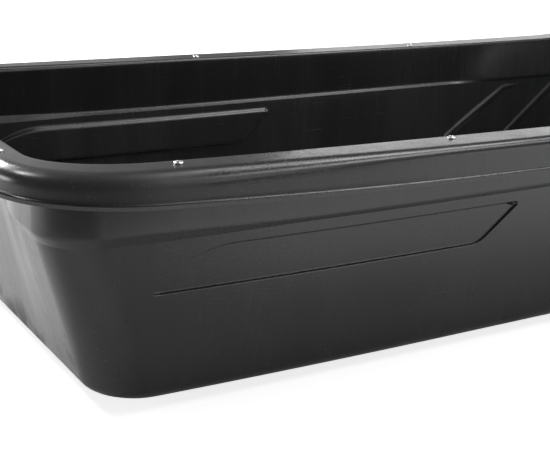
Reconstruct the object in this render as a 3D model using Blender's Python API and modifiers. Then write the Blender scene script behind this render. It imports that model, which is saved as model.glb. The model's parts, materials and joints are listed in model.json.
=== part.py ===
"""Snowmobile cargo sled: a thermoformed tub with a rim frame, runner strips and a hinged tow bar.

Metres, +Z up. X points forward, Y points to the left side and the ground is z = 0.
"""
import math

import bmesh
import bpy
from mathutils import Matrix, Vector

# Fits
GAP = 0.0003                 # left between pieces that touch
RUN = 0.00005                # radial clearance of a turning fit
HOLE_PLAY = 0.0003           # radial clearance of a bolt or rivet in its hole

# Sheet of the tub and how high its floor stands
SHEET = 0.0045
STRIP_THICKNESS = 0.0157
FLOOR_Z = STRIP_THICKNESS + GAP
FLOOR_REAR_X = -0.27         # behind this the floor sweeps up
FLOOR_SWEEP_RADIUS = 20.0

# Outer corner of the floor and the lean of the side and rear walls
FLOOR_HALF_WIDTH = 0.333
FLOOR_REAR = 0.7866
FLOOR_FRONT = 0.5793
FLOOR_RADIUS = 0.022
BOW_RADIUS = 0.170
SIDE_LEAN_DEGREES = 6.73
REAR_LEAN_DEGREES = 17.0
SIDE_LEAN = math.tan(math.radians(SIDE_LEAN_DEGREES))   # outward travel per metre of height
REAR_LEAN = math.tan(math.radians(REAR_LEAN_DEGREES))

# Ledge along the wall, where the upper band stands further out
LEDGE_HEIGHT = 0.2075
LEDGE_RISE = 0.012
LEDGE_STEP = 0.0022          # beyond the wall's own lean
LEDGE_RADIUS = 0.012
LEDGE_FADE_X = (0.26, 0.38)  # it runs out toward the bow
LEDGE_FADE_Y = (0.10, 0.24)  # and in the middle of the rear wall

# Rim: its sweep in side view, how far its inner edge stands outside the floor's corner,
# its flat top, skirt and trimmed lip
RIM_HEIGHT = 0.2984
RIM_LOW_X = 0.53
RIM_SWEEP_RADIUS = 51.0
BOW_RISE_X = 0.50
BOW_SWEEP_RADIUS = 1.667
RIM_OUT_SIDE = 0.0225
RIM_OUT_REAR = 0.0624
RIM_OUT_BOW = 0.2587
RIM_HALF = FLOOR_HALF_WIDTH + RIM_OUT_SIDE
RIM_REAR = FLOOR_REAR + RIM_OUT_REAR
RIM_FRONT = FLOOR_FRONT + RIM_OUT_BOW
RIM_WIDTH = 0.0585
RIM_END_WIDTH = 0.051
RIM_EDGE_RADIUS = 0.006
SHOULDER_RADIUS = 0.012
SKIRT_DEPTH = 0.0365
SKIRT_FLARE = 0.0038
SKIRT_END_FLARE = -0.001     # at the rear and at the bow
SKIRT_SWEEP_RADIUS = 17.9    # the skirt gets shallower toward the rear
SKIRT_RADIUS = 0.0025
LIP_WIDTH = 0.0057
RIM_NARROWING = 0.006        # the rim draws in toward the rear corners

# Corners of the tub in plan, along X and along Y
FLOOR_CORNER = (0.070, 0.070)
LEDGE_CORNER = (0.078, 0.078)
EDGE_CORNER = (0.130, 0.090)
SHOULDER_CORNER = (0.170, 0.140)
REAR_CORNER_POWER = 2.25
BOW_FLOOR_CORNER = (0.100, 0.150)
BOW_WALL_CORNER = (0.150, 0.175)
BOW_EDGE_CORNER = (0.200, 0.200)
BOW_SHOULDER_CORNER = (0.251, 0.2585)

# Recessed panel on each side wall, as places along X and heights above the floor
PANEL_REAR = -0.731
PANEL_FRONT = -0.240
PANEL_TIP = -0.1795
PANEL_TOP_REAR = -0.618
PANEL_BOTTOM = 0.1457
PANEL_TOP = 0.1997
PANEL_DEPTH = 0.00275
PANEL_EDGE = 0.0015          # the plateau inside is this much larger than the recess outside
PANEL_TIP_DROP = 0.003       # the front corner below the top edge
PANEL_TIP_WIDTH = 0.005
PANEL_STEP = 0.12            # longest straight piece of its outline, which follows the floor's sweep
PANEL_REAR_DEGREES = 76.0    # sweep of its rounded rear edge
PANEL_REAR_STEPS = 6
PANEL_REAR_POWER = 1.8

# Slanted ribs on each side wall, from their low end to their high end
RIBS = (((0.246, 0.110), (0.3935, 0.2027)), ((0.4007, 0.106), (0.533, 0.2027)))
RIB_RADIUS = 0.0075
RIB_HEIGHT = 0.0045
RIB_GROOVE = 0.004
RIB_WALL = 0.002             # the groove outside is this much narrower than the rib

# Raised bands in the floor, between the runner strips
BAND_Y = 0.115
BAND_HALF_WIDTH = 0.045
BAND_ENDS = (-0.62, 0.42)
BAND_BEND_X = -0.45          # between its ends, where it follows the floor's sweep
BAND_HEIGHT = 0.006

# Rim frame
TUBE_RADIUS = 0.011
TUBE_WALL = 0.0015
TUBE_RIM_GAP = 0.0006
TUBE_HALF = RIM_HALF + SHEET + GAP + TUBE_RADIUS
TUBE_REAR = RIM_REAR + RIM_END_WIDTH / 2
TUBE_FRONT = RIM_FRONT + RIM_END_WIDTH / 2 + 0.001
TUBE_REAR_CORNER = (0.155, 0.116)
TUBE_BOW_CORNER = (0.225, 0.216)
TUBE_JOINT_GAP = 0.0006
PLUG_LENGTH = 0.120
PLUG_PLAY = 0.0003           # from the flats inside the tube

# Rim rivets
RIVET_SIDE_X = (-0.7064, -0.3167, 0.163, 0.600)
RIVET_END_Y = (0.246, 0.100)  # at the rear and at the bow
RIVET_HEAD_RADIUS = 0.00575
RIVET_HEAD_HEIGHT = 0.003
RIVET_HEAD_EDGE = 0.0006     # straight edge under its dome
RIVET_DOME_DEGREES = 78.0
RIVET_DOME_STEPS = 3
RIVET_SHANK_RADIUS = 0.0024
RIVET_BULB_RADIUS = 0.0036
RIVET_BULB_LENGTH = 0.005
RIVET_BULB_SLOPE = 0.0009

# Runner strips under the floor
STRIP_Y = (-0.215, 0.0, 0.215)
STRIP_WIDTH = 0.040
STRIP_REAR = -0.60
STRIP_FRONT = 0.47
STRIP_REAR_SLOPE = 0.012     # its ends are cut back below
STRIP_FRONT_SLOPE = 0.020
STRIP_NOSE_HEIGHT = 0.008
STRIP_BOLT_X = (-0.20, 0.40)
STRIP_POCKET_RADIUS = 0.0105
STRIP_POCKET_DEPTH = 0.0085

# Bolts and nuts
BOLT_RADIUS = 0.004
BOLT_HEAD_RADIUS = 0.009
BOLT_HEAD_HEIGHT = 0.0042
BOLT_DOME = ((0.0, 1.0), (0.5, 0.9), (0.85, 0.6), (1.0, 0.3))   # shares of its radius and height
BOLT_POINT = 0.001
NUT_FLATS = 0.013
NUT_HEIGHT = 0.0065
THREAD_END = 0.0015          # bolt end beyond its nut
CUT_REACH = 0.020            # how far a cutter runs past the faces that it goes through

# Tow brackets on the bow wall
BRACKET_Y = 0.105
BRACKET_HEIGHT = 0.150       # of the hinge above the floor's underside
BRACKET_PLATE = 0.004
BRACKET_INSIDE = 0.036       # between its cheeks
BRACKET_WING = 0.024
BRACKET_HALF_HEIGHT = 0.030
BRACKET_BOLT_Y = 0.0335      # from the bracket's middle
CHEEK_FRONT = 0.024          # cheek in front of the hinge
CHEEK_TOP = 0.016
CHEEK_NOSE = ((0.024, -0.004), (0.013, 0.010), (0.003, 0.016))   # its bevelled corner, from the hinge
HINGE_STANDOFF = 0.020       # hinge axis from the wall

# Hinge pins and their clips
PIN_RADIUS = 0.005
PIN_HEAD_RADIUS = 0.008
PIN_HEAD_HEIGHT = 0.004
PIN_TAIL = 0.014             # beyond the outer cheek
CLIP_RADIUS = 0.00125
CLIP_FROM_CHEEK = 0.005
CLIP_BEND = 0.002
CLIP_AWAY = PIN_RADIUS + CLIP_RADIUS + GAP
# Its line from the pin's axis, forward and down: the straight leg, the loop and the bowed leg
CLIP_LINE = ((0.0, -0.012), (0.0, 0.032), (0.004, 0.040), (0.012, 0.038), (0.014, 0.030), (0.009, 0.018),
             (CLIP_AWAY, 0.009), (CLIP_AWAY + 0.0006, 0.0), (CLIP_AWAY, -0.006), (CLIP_AWAY + 0.005, -0.012))

# Tow bar
BAR_RADIUS = 0.011
BAR_STRAIGHT = 0.080
BAR_BEND = 0.120             # radius of its bends
BAR_FROM_PIN = 0.003         # its rods start this far in front of the pin
BAR_INTO_NOSE = 0.020        # and end this far in front of the sleeve's middle
BAR_WELD = 0.004             # sunk this far into the sleeve's side
NUT_SIDE_Y = 0.031           # middle of the bar beside the eye's nut
NOSE_X = 1.500               # middle of the sleeve
NOSE_LENGTH = 0.100
NOSE_RADIUS = 0.017
BRACE_X = 0.980
BRACE_RADIUS = 0.008

# Tow eye
SHANK_RADIUS = 0.008
SHANK_END = 0.006            # beyond its nut
COLLAR_RADIUS = 0.014
COLLAR_LENGTH = 0.008
EYE_RADIUS = 0.030           # middle of the ring
EYE_WIRE = 0.009
EYE_NUT_FLATS = 0.024
EYE_NUT_HEIGHT = 0.013
WELD = 0.004                 # how far the pieces of one forging or weldment run into each other

# Steps of the round shapes
ROUND = 16
SMALL_ROUND = 10
TUBE_SIDES = 10
RING_STEPS = 20
ZONES = (("rear", 3), ("rear corner", 6), ("side", 11), ("bow corner", 6), ("bow", 1))

PARTS = bpy.data.collections.new("Snowmobile cargo sled")
CUTTERS = bpy.data.collections.new("Cutters")
TUB_ADDITIONS = bpy.data.collections.new("Tub additions")
TUB_CUTS = bpy.data.collections.new("Tub cuts")


# Materials

def material(name, colour, roughness, metallic=0.0):
    """Principled material with a plain colour."""
    result = bpy.data.materials.new(name)
    result.use_nodes = True
    shader = result.node_tree.nodes["Principled BSDF"]
    shader.inputs["Base Color"].default_value = (*colour, 1.0)
    shader.inputs["Roughness"].default_value = roughness
    shader.inputs["Metallic"].default_value = metallic
    result.diffuse_color = (*colour, 1.0)
    return result


MATERIALS = {
    "tub": material("Black sheet plastic", (0.022, 0.023, 0.026), 0.42),
    "strip": material("Runner plastic", (0.05, 0.05, 0.052), 0.5),
    "tube": material("Galvanised tube", (0.55, 0.56, 0.57), 0.4, 1.0),
    "rivet": material("Bright rivet", (0.80, 0.81, 0.82), 0.25, 1.0),
    "bolt": material("Zinc bolt", (0.62, 0.63, 0.64), 0.35, 1.0),
    "painted": material("Black painted steel", (0.03, 0.03, 0.032), 0.38, 0.0),
    "eye": material("Forged steel", (0.35, 0.35, 0.36), 0.45, 1.0),
}


# Helpers that make and place objects

def add(name, mesh, finish, origin=(0.0, 0.0, 0.0), parent=None, sharp=30.0):
    """A named part whose mesh is in world places, with its origin moved to the given point."""
    mesh.transform(Matrix.Translation(-Vector(origin)))
    mesh.shade_smooth()
    mesh.set_sharp_from_angle(angle=math.radians(sharp))
    mesh.materials.clear()
    mesh.materials.append(MATERIALS[finish])
    result = bpy.data.objects.new(name, mesh)
    PARTS.objects.link(result)
    result.location = Vector(origin) - (parent.location if parent else Vector())
    result.parent = parent
    return result


def cutter(name, mesh, collection=None):
    """A helper shape, which is not a part, for a Boolean."""
    result = bpy.data.objects.new(name, mesh)
    (collection or CUTTERS).objects.link(result)
    result.hide_render = True
    result.display_type = "WIRE"
    return result


def boolean(target, operation, other):
    """Boolean modifier with one object or with a whole collection."""
    modifier = target.modifiers.new(operation.title(), "BOOLEAN")
    modifier.operation = operation
    modifier.solver = "EXACT"
    if isinstance(other, bpy.types.Collection):
        modifier.operand_type = "COLLECTION"
        modifier.collection = other
    else:
        modifier.object = other


def mesh_from(builder, name):
    """Mesh made by a function that fills a bmesh."""
    shape = bmesh.new()
    builder(shape)
    mesh = bpy.data.meshes.new(name)
    shape.to_mesh(mesh)
    shape.free()
    return mesh


def settled(obj):
    """Mesh of an object with its modifiers, in world places, welded. The object is removed."""
    bpy.context.view_layer.update()
    graph = bpy.context.evaluated_depsgraph_get()
    mesh = bpy.data.meshes.new_from_object(obj.evaluated_get(graph))
    mesh.transform(obj.matrix_world)
    shape = bmesh.new()
    shape.from_mesh(mesh)
    bmesh.ops.remove_doubles(shape, verts=shape.verts, dist=0.00001)
    shape.to_mesh(mesh)
    shape.free()
    bpy.data.objects.remove(obj)
    return mesh


def united(name, meshes):
    """One mesh from several that overlap."""
    base = cutter(name, meshes[0])
    others = bpy.data.collections.new(name + " pieces")
    for mesh in meshes[1:]:
        cutter(name + " piece", mesh, others)
    bpy.context.scene.collection.children.link(others)
    boolean(base, "UNION", others)
    result = settled(base)
    for piece in list(others.objects):
        bpy.data.objects.remove(piece)
    bpy.data.collections.remove(others)
    return result


def less(name, mesh, cuts):
    """One mesh with others cut from it."""
    base = cutter(name, mesh)
    others = bpy.data.collections.new(name + " cuts")
    for cut in cuts:
        cutter(name + " cut", cut, others)
    bpy.context.scene.collection.children.link(others)
    boolean(base, "DIFFERENCE", others)
    result = settled(base)
    for piece in list(others.objects):
        bpy.data.objects.remove(piece)
    bpy.data.collections.remove(others)
    return result


def along(start, end):
    """Matrix that takes the Z axis onto the line between two points, centred on it."""
    start, end = Vector(start), Vector(end)
    turn = (end - start).to_track_quat("Z", "Y").to_matrix().to_4x4()
    return Matrix.Translation((start + end) / 2) @ turn


def cylinder(start, end, radius, segments=SMALL_ROUND, outside=False):
    """Cylinder mesh between two points. With outside, its flats touch the radius."""
    reach = radius / math.cos(math.pi / segments) if outside else radius
    length = (Vector(end) - Vector(start)).length

    def build(shape):
        bmesh.ops.create_cone(shape, cap_ends=True, segments=segments, radius1=reach, radius2=reach,
                              depth=length, matrix=along(start, end))
    return mesh_from(build, "Cylinder")


def ball(centre, radius):
    """Sphere mesh."""
    def build(shape):
        bmesh.ops.create_uvsphere(shape, u_segments=SMALL_ROUND, v_segments=SMALL_ROUND // 2, radius=radius,
                                  matrix=Matrix.Translation(Vector(centre)))
    return mesh_from(build, "Ball")


def ring(centre, radius, wire):
    """Torus mesh that lies flat."""
    bpy.ops.mesh.primitive_torus_add(location=centre, major_segments=RING_STEPS, minor_segments=SMALL_ROUND,
                                     major_radius=radius, minor_radius=wire)
    return settled(bpy.context.object)


def turned(profile, segments=SMALL_ROUND):
    """Mesh of a profile of (radius, height) pairs, top to bottom, turned about the Z axis."""
    mesh = bpy.data.meshes.new("Turned")
    points = [(radius, 0.0, height) for radius, height in profile]
    mesh.from_pydata(points, [(i, i + 1) for i in range(len(points) - 1)], [])
    obj = bpy.data.objects.new("Turned", mesh)
    CUTTERS.objects.link(obj)
    screw = obj.modifiers.new("Screw", "SCREW")
    screw.steps = segments
    screw.render_steps = segments
    screw.use_merge_vertices = True
    screw.merge_threshold = 0.00001
    return settled(obj)


def tube(points, radius, sides, capped=True):
    """Round bar along a list of points."""
    curve = bpy.data.curves.new("Tube", "CURVE")
    curve.dimensions = "3D"
    curve.bevel_depth = radius
    curve.bevel_resolution = sides // 2 - 2
    curve.use_fill_caps = capped
    spline = curve.splines.new("POLY")
    spline.points.add(len(points) - 1)
    for target, point in zip(spline.points, points):
        target.co = (*point, 1.0)
    obj = bpy.data.objects.new("Tube", curve)
    CUTTERS.objects.link(obj)
    return settled(obj)


def plate(outline, thickness, matrix):
    """Flat outline of (x, y) points, filled and thickened both ways, then placed by a matrix."""
    curve = bpy.data.curves.new("Plate", "CURVE")
    curve.dimensions = "2D"
    curve.fill_mode = "BOTH"
    curve.extrude = thickness / 2
    spline = curve.splines.new("POLY")
    spline.points.add(len(outline) - 1)
    for target, (x, y) in zip(spline.points, outline):
        target.co = (x, y, 0.0, 1.0)
    spline.use_cyclic_u = True
    obj = bpy.data.objects.new("Plate", curve)
    CUTTERS.objects.link(obj)
    obj.matrix_world = matrix
    return settled(obj)


def upright(y):
    """Matrix that stands a flat outline of (x, z) points in the plane at a place along Y."""
    return Matrix(((1, 0, 0, 0), (0, 0, -1, y), (0, 1, 0, 0), (0, 0, 0, 1)))


def arc(before, corner, after, radius, steps):
    """Points of the round that replaces a corner between two straight lines."""
    before, corner, after = Vector(before), Vector(corner), Vector(after)
    back = (before - corner).normalized()
    ahead = (after - corner).normalized()
    half = back.angle(ahead) / 2
    reach = radius / math.tan(half)
    centre = corner + (back + ahead).normalized() * (radius / math.sin(half))
    start = corner + back * reach - centre
    end = corner + ahead * reach - centre
    sweep = start.angle(end)
    points = []
    for step in range(steps + 1):
        share = step / steps
        near = math.sin((1 - share) * sweep) / math.sin(sweep)
        far = math.sin(share * sweep) / math.sin(sweep)
        points.append(centre + start * near + end * far)
    return points


def rounded(points, radius, steps):
    """An open line of points with each inner corner rounded."""
    result = [Vector(points[0])]
    for before, corner, after in zip(points, points[1:], points[2:]):
        result += arc(before, corner, after, radius, steps)
    result.append(Vector(points[-1]))
    return result


def smooth(low, high, value):
    """Share from 0 to 1 that eases in and out between two limits."""
    share = min(max((value - low) / (high - low), 0.0), 1.0)
    return share * share * (3 - 2 * share)


# Tub: heights, sections and plan curves

def sweep(distance, radius):
    """Rise of a long shallow curve at a distance from where it starts."""
    return distance ** 2 / (2 * radius)


def floor_rise(x):
    """How far the floor has swept up at a place behind its straight part."""
    return sweep(min(x - FLOOR_REAR_X, 0.0), FLOOR_SWEEP_RADIUS)


def rim_rise(x):
    """Height of the rim's flat top above the floor's underside."""
    bow = sweep(max(x - BOW_RISE_X, 0.0), BOW_SWEEP_RADIUS)
    return RIM_HEIGHT + sweep(x - RIM_LOW_X, RIM_SWEEP_RADIUS) + bow


def skirt_shortening(x):
    """How much shallower the skirt is than in the middle of the tub."""
    return sweep(min(x - FLOOR_REAR_X, 0.0), SKIRT_SWEEP_RADIUS)


def inner_face(floor_corner, lean, height):
    """Place of a leaning wall's inner face at a height above the floor's underside."""
    return floor_corner + lean * height - SHEET * math.hypot(1.0, lean)


def section(floor_corner, lean, foot_radius, rim, width, flare, height):
    """Upper surface of the sheet from the floor to the lip as (outward, upward) pairs.

    Returns the part that follows the floor with its ledge, the same without it, and the rim.
    """
    foot_point = (inner_face(floor_corner, lean, SHEET), SHEET)
    under_ledge = (inner_face(floor_corner, lean, LEDGE_HEIGHT), LEDGE_HEIGHT)
    ledge_top = LEDGE_HEIGHT + LEDGE_RISE
    over_ledge = (inner_face(floor_corner, lean, ledge_top) + LEDGE_STEP, ledge_top)
    edge = (rim, height)
    shoulder = (rim + width, height)
    skirt = (rim + width + flare, height - SKIRT_DEPTH)
    lip = (rim + width + flare + LIP_WIDTH, height - SKIRT_DEPTH)
    foot_arc = arc((0.0, SHEET), foot_point, under_ledge, foot_radius, 4)
    stepped = arc(foot_point, under_ledge, over_ledge, LEDGE_RADIUS, 2)
    stepped += arc(under_ledge, over_ledge, edge, LEDGE_RADIUS, 2)
    rim_part = arc(over_ledge, edge, shoulder, RIM_EDGE_RADIUS, 3)
    plain = []
    for point in stepped:
        share = (point.y - foot_arc[-1].y) / (rim_part[0].y - foot_arc[-1].y)
        plain.append(foot_arc[-1].lerp(rim_part[0], share))
    rim_part += arc(edge, shoulder, skirt, SHOULDER_RADIUS, 4)
    rim_part += arc(shoulder, skirt, lip, SKIRT_RADIUS, 2)
    rim_part.append(Vector(lip))
    return foot_arc + stepped, foot_arc + plain, rim_part


def sections():
    """The side, rear and bow sections."""
    side = section(FLOOR_HALF_WIDTH, SIDE_LEAN, FLOOR_RADIUS - SHEET, RIM_HALF, RIM_WIDTH,
                   SKIRT_FLARE, RIM_HEIGHT)
    rear = section(FLOOR_REAR, REAR_LEAN, FLOOR_RADIUS - SHEET, RIM_REAR, RIM_END_WIDTH,
                   SKIRT_END_FLARE, rim_rise(-TUBE_REAR))
    bow = section(FLOOR_FRONT, bow_lean(), BOW_RADIUS - SHEET, RIM_FRONT, RIM_END_WIDTH,
                  SKIRT_END_FLARE, rim_rise(TUBE_FRONT))
    return side, rear, bow


def bow_lean():
    """Outward travel of the bow wall per metre of height, with which it meets the rim."""
    rise = rim_rise(TUBE_FRONT)
    lean = (RIM_FRONT - FLOOR_FRONT) / rise
    for _ in range(4):
        lean = (RIM_FRONT + SHEET * math.hypot(1.0, lean) - FLOOR_FRONT) / rise
    return lean


def stations():
    """Places round half of the tub, from the middle of the rear to the middle of the bow."""
    result = []
    for zone, steps in ZONES:
        result += [(zone, step / steps) for step in range(steps)]
    result.append((ZONES[-1][0], 1.0))
    return result


def corner_point(share, radii, power):
    """Point of a quarter of a superellipse, from its X end to its Y end."""
    angle = share * math.pi / 2
    return radii[0] * math.cos(angle) ** (2 / power), radii[1] * math.sin(angle) ** (2 / power)


def plan_point(station, side, rear, front, rear_radii, bow_radii, narrowing=0.0):
    """Point of a closed curve round the tub, seen from above."""
    zone, share = station
    narrow = side - narrowing
    rear_start = -rear + rear_radii[0]
    bow_start = front - bow_radii[0]
    if zone == "rear":
        return -rear, share * (narrow - rear_radii[1])
    if zone == "rear corner":
        x, y = corner_point(share, rear_radii, REAR_CORNER_POWER)
        return rear_start - x, narrow - rear_radii[1] + y
    if zone == "side":
        x = rear_start + share * (bow_start - rear_start)
        behind = max((FLOOR_REAR_X - x) / (FLOOR_REAR_X - rear_start), 0.0)
        return x, side - narrowing * behind ** 2
    if zone == "bow corner":
        x, y = corner_point(1.0 - share, bow_radii, 2.0)
        return bow_start + x, side - bow_radii[1] + y
    return front, (1.0 - share) * (side - bow_radii[1])


def blend(station, side, rear, bow):
    """Value that goes over from the rear to the side to the bow through the corners."""
    zone, share = station
    eased = smooth(0.0, 1.0, share)
    if zone == "rear":
        return rear
    if zone == "rear corner":
        return rear + (side - rear) * eased
    if zone == "side":
        return side
    if zone == "bow corner":
        return side + (bow - side) * eased
    return bow


def ledge_share(station, x, y):
    """How much of the ledge is left at a place: all of it, or less where it runs out."""
    if station[0] in ("bow corner", "bow"):
        return 0.0
    if station[0] == "rear":
        return smooth(*LEDGE_FADE_Y, y)
    return 1.0 - smooth(*LEDGE_FADE_X, x)


def grown(radii, amount):
    """Corner radii of a curve that runs parallel outside another."""
    return radii[0] + amount, radii[1] + amount


def tube_path():
    """Middle line of the left half of the rim frame, as points at the stations."""
    points = []
    for station in stations():
        x, y = plan_point(station, TUBE_HALF, TUBE_REAR, TUBE_FRONT, TUBE_REAR_CORNER, TUBE_BOW_CORNER)
        z = FLOOR_Z + rim_rise(x) - SHEET - TUBE_RIM_GAP - TUBE_RADIUS
        points.append(Vector((x, y, z)))
    return points


def wall_rings():
    """Rings of the floor's edge and the wall, from the inside out."""
    side, rear, bow = sections()
    foot_count = len(side[0]) - 6
    rings = []
    for index in range(len(side[0])):
        flat = [part[1][index] for part in (side, rear, bow)]
        stepped = [part[0][index] for part in (side, rear)]
        if index < foot_count:
            share = index / (foot_count - 1)
            rear_radii = grown(FLOOR_CORNER, flat[0].x - side[0][foot_count - 1].x)
            bow_radii = [low + (high - low) * share for low, high in zip(BOW_FLOOR_CORNER, BOW_WALL_CORNER)]
        else:
            rear_radii = LEDGE_CORNER
            bow_radii = BOW_WALL_CORNER
        ring = []
        for station in stations():
            x, y = plan_point(station, flat[0].x, flat[1].x, flat[2].x, rear_radii, bow_radii)
            share = ledge_share(station, x, y)
            side_out = flat[0].x + (stepped[0].x - flat[0].x) * share
            rear_out = flat[1].x + (stepped[1].x - flat[1].x) * share
            x, y = plan_point(station, side_out, rear_out, flat[2].x, rear_radii, bow_radii)
            height = blend(station, flat[0].y, flat[1].y, flat[2].y)
            ring.append(Vector((x, y, FLOOR_Z + floor_rise(x) + height)))
        rings.append(ring)
    return rings


def rim_rings():
    """Rings of the rim, from its inner edge over the shoulder to the lip."""
    side, rear, bow = sections()
    tops = [point.z + SHEET + TUBE_RIM_GAP + TUBE_RADIUS for point in tube_path()]
    edge, shoulder = RIM_HALF, RIM_HALF + RIM_WIDTH
    rings = []
    for at_side, at_rear, at_bow in zip(side[2], rear[2], bow[2]):
        over_edge = at_side.x < (edge + shoulder) / 2
        middle = edge if over_edge else shoulder
        rear_radii = grown(EDGE_CORNER if over_edge else SHOULDER_CORNER, at_side.x - middle)
        bow_radii = grown(BOW_EDGE_CORNER if over_edge else BOW_SHOULDER_CORNER, at_side.x - middle)
        drop = RIM_HEIGHT - at_side.y
        ring = []
        for station, top in zip(stations(), tops):
            x, y = plan_point(station, at_side.x, at_rear.x, at_bow.x, rear_radii, bow_radii, RIM_NARROWING)
            shorter = skirt_shortening(x) if drop > SKIRT_DEPTH / 2 else 0.0
            ring.append(Vector((x, y, top - drop + shorter)))
        rings.append(ring)
    return rings


def tub_half(shape):
    """Upper surface of the tub's left half, from its middle line to the lip."""
    rings = [[shape.verts.new(point) for point in ring] for ring in wall_rings() + rim_rings()]
    for inner, outer in zip(rings, rings[1:]):
        for index in range(len(inner) - 1):
            shape.faces.new((inner[index], inner[index + 1], outer[index + 1], outer[index]))
    floor = rings[0]
    first = ZONES[0][1] + 1
    last = len(floor) - 1 - ZONES[-1][1] - 1
    middle = [shape.verts.new((vert.co.x, 0.0, vert.co.z)) for vert in floor[first:last + 1]]
    shape.faces.new((*reversed(floor[:first + 1]), middle[0]))
    for index in range(len(middle) - 1):
        outer = floor[first + index:first + index + 2]
        shape.faces.new((middle[index], middle[index + 1], outer[1], outer[0]))
    shape.faces.new((middle[-1], *reversed(floor[last:])))


def wall_place(x, height, inward=0.0):
    """Point on the left wall's inner face at a height above the floor, or further inward."""
    kept = 1.0 - smooth(*LEDGE_FADE_X, x)
    stepped = inner_face(FLOOR_HALF_WIDTH, SIDE_LEAN, height)
    foot = inner_face(FLOOR_HALF_WIDTH, SIDE_LEAN, SHEET)
    plain = foot + (RIM_HALF - foot) * (height - SHEET) / (RIM_HEIGHT - SHEET)
    y = plain + (stepped - plain) * kept
    return Vector((x, y - inward, FLOOR_Z + floor_rise(x) + height))


# Tub: the panels, ribs and bands that are joined to it and cut from it

def panel_outline(growth):
    """Outline of the side panel as (x, height) points, larger by the growth."""
    rear, front = PANEL_REAR - growth, PANEL_FRONT + growth
    bottom, top = PANEL_BOTTOM - growth, PANEL_TOP + growth
    corners = [(rear, bottom), (front, bottom), (PANEL_TIP + 2 * growth, PANEL_TOP - PANEL_TIP_DROP),
               (PANEL_TIP - PANEL_TIP_WIDTH + growth, top), (PANEL_TOP_REAR, top)]
    points = []
    for start, end in zip(corners, corners[1:]):
        pieces = max(1, round(abs(end[0] - start[0]) / PANEL_STEP))
        points += [Vector(start).lerp(Vector(end), piece / pieces) for piece in range(pieces)]
    points.append(Vector(corners[-1]))
    last = math.radians(PANEL_REAR_DEGREES)
    for step in range(1, PANEL_REAR_STEPS):
        angle = step / PANEL_REAR_STEPS * last
        back = (math.sin(angle) / math.sin(last)) ** (2 / PANEL_REAR_POWER)
        down = (1 - math.cos(angle)) / (1 - math.cos(last))
        points.append(Vector((PANEL_TOP_REAR + (rear - PANEL_TOP_REAR) * back, top + (bottom - top) * down)))
    return points


def side_plate(outline, near, far, side):
    """Slab that follows the side wall's lean, between two distances inward of its outer face."""
    length = math.hypot(1.0, SIDE_LEAN)
    points = [(x, (height + floor_rise(x)) * length) for x, height in outline]
    up = Vector((0.0, side * SIDE_LEAN, 1.0)).normalized()
    out = Vector((1.0, 0.0, 0.0)).cross(up)
    frame = Matrix((Vector((1.0, 0.0, 0.0)), up, out)).transposed().to_4x4()
    outward = Vector((0.0, side, -SIDE_LEAN)).normalized()
    middle = Vector((0.0, side * FLOOR_HALF_WIDTH, FLOOR_Z)) - outward * (near + far) / 2
    return plate(points, far - near, Matrix.Translation(middle) @ frame)


def side_panels():
    """Raised plateau inside and recess outside, on both walls."""
    for side in (-1, 1):
        cutter("Panel plateau", side_plate(panel_outline(PANEL_EDGE), 0.001, SHEET + PANEL_DEPTH, side),
               TUB_ADDITIONS)
        cutter("Panel recess", side_plate(panel_outline(0.0), -0.02, PANEL_DEPTH, side), TUB_CUTS)


def side_ribs():
    """Slanted ribs that stand out inside, with grooves outside, on both walls."""
    groove = RIB_RADIUS - RIB_WALL
    for side in (-1, 1):
        for low, high in RIBS:
            for radius, inward, place in ((RIB_RADIUS, RIB_HEIGHT - RIB_RADIUS, TUB_ADDITIONS),
                                          (groove, RIB_GROOVE - SHEET - groove, TUB_CUTS)):
                ends = [wall_place(*end, inward) for end in (low, high)]
                ends = [Vector((end.x, side * end.y, end.z)) for end in ends]
                pieces = [cylinder(*ends, radius)] + [ball(end, radius) for end in ends]
                cutter("Side rib", united("Side rib", pieces), place)


def floor_bands():
    """Raised bands in the floor with grooves beneath them."""
    rear, front = BAND_ENDS
    for side in (-1, 1):
        for inset, low, high, place in ((0.0, SHEET / 4, SHEET + BAND_HEIGHT, TUB_ADDITIONS),
                                        (SHEET, -CUT_REACH / 2, BAND_HEIGHT, TUB_CUTS)):
            half = BAND_HALF_WIDTH - inset
            places = [rear + inset, BAND_BEND_X, FLOOR_REAR_X, front - inset]
            outline = [(x, FLOOR_Z + floor_rise(x) + high) for x in places]
            outline += [(x, FLOOR_Z + floor_rise(x) + low) for x in reversed(places)]
            cutter("Floor band", plate(outline, 2 * half, upright(side * BAND_Y)), place)


def rivet_places():
    """Centre and slope of each rivet's seat on the rim."""
    places = []
    path = tube_path()
    for side in (-1, 1):
        for x in RIVET_SIDE_X:
            places.append((on_rim(path, x), side))
        for x, y in ((-TUBE_REAR, RIVET_END_Y[0]), (TUBE_FRONT, RIVET_END_Y[1])):
            places.append((Vector((x, y, FLOOR_Z + rim_rise(x))), side))
    return [(Vector((point.x, side * point.y, point.z)), rim_slope(path, point.x)) for point, side in places]


def on_rim(path, x):
    """Point on the rim's flat top over the frame tube, at a place along the side."""
    for start, end in zip(path, path[1:]):
        if start.x <= x <= end.x and end.x > start.x:
            point = start.lerp(end, (x - start.x) / (end.x - start.x))
            return point + Vector((0.0, 0.0, SHEET + TUBE_RIM_GAP + TUBE_RADIUS))
    raise ValueError("the place lies beyond the rim")


def rim_slope(path, x):
    """Slope of the rim along X at a place on the side, and none at the ends."""
    for start, end in zip(path, path[1:]):
        if start.x <= x <= end.x and abs(end.y - start.y) < end.x - start.x:
            return math.atan2(end.z - start.z, end.x - start.x)
    return 0.0


def tilted(point, slope):
    """Matrix that stands a piece on the rim."""
    return Matrix.Translation(point) @ Matrix.Rotation(-slope, 4, "Y")


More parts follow.
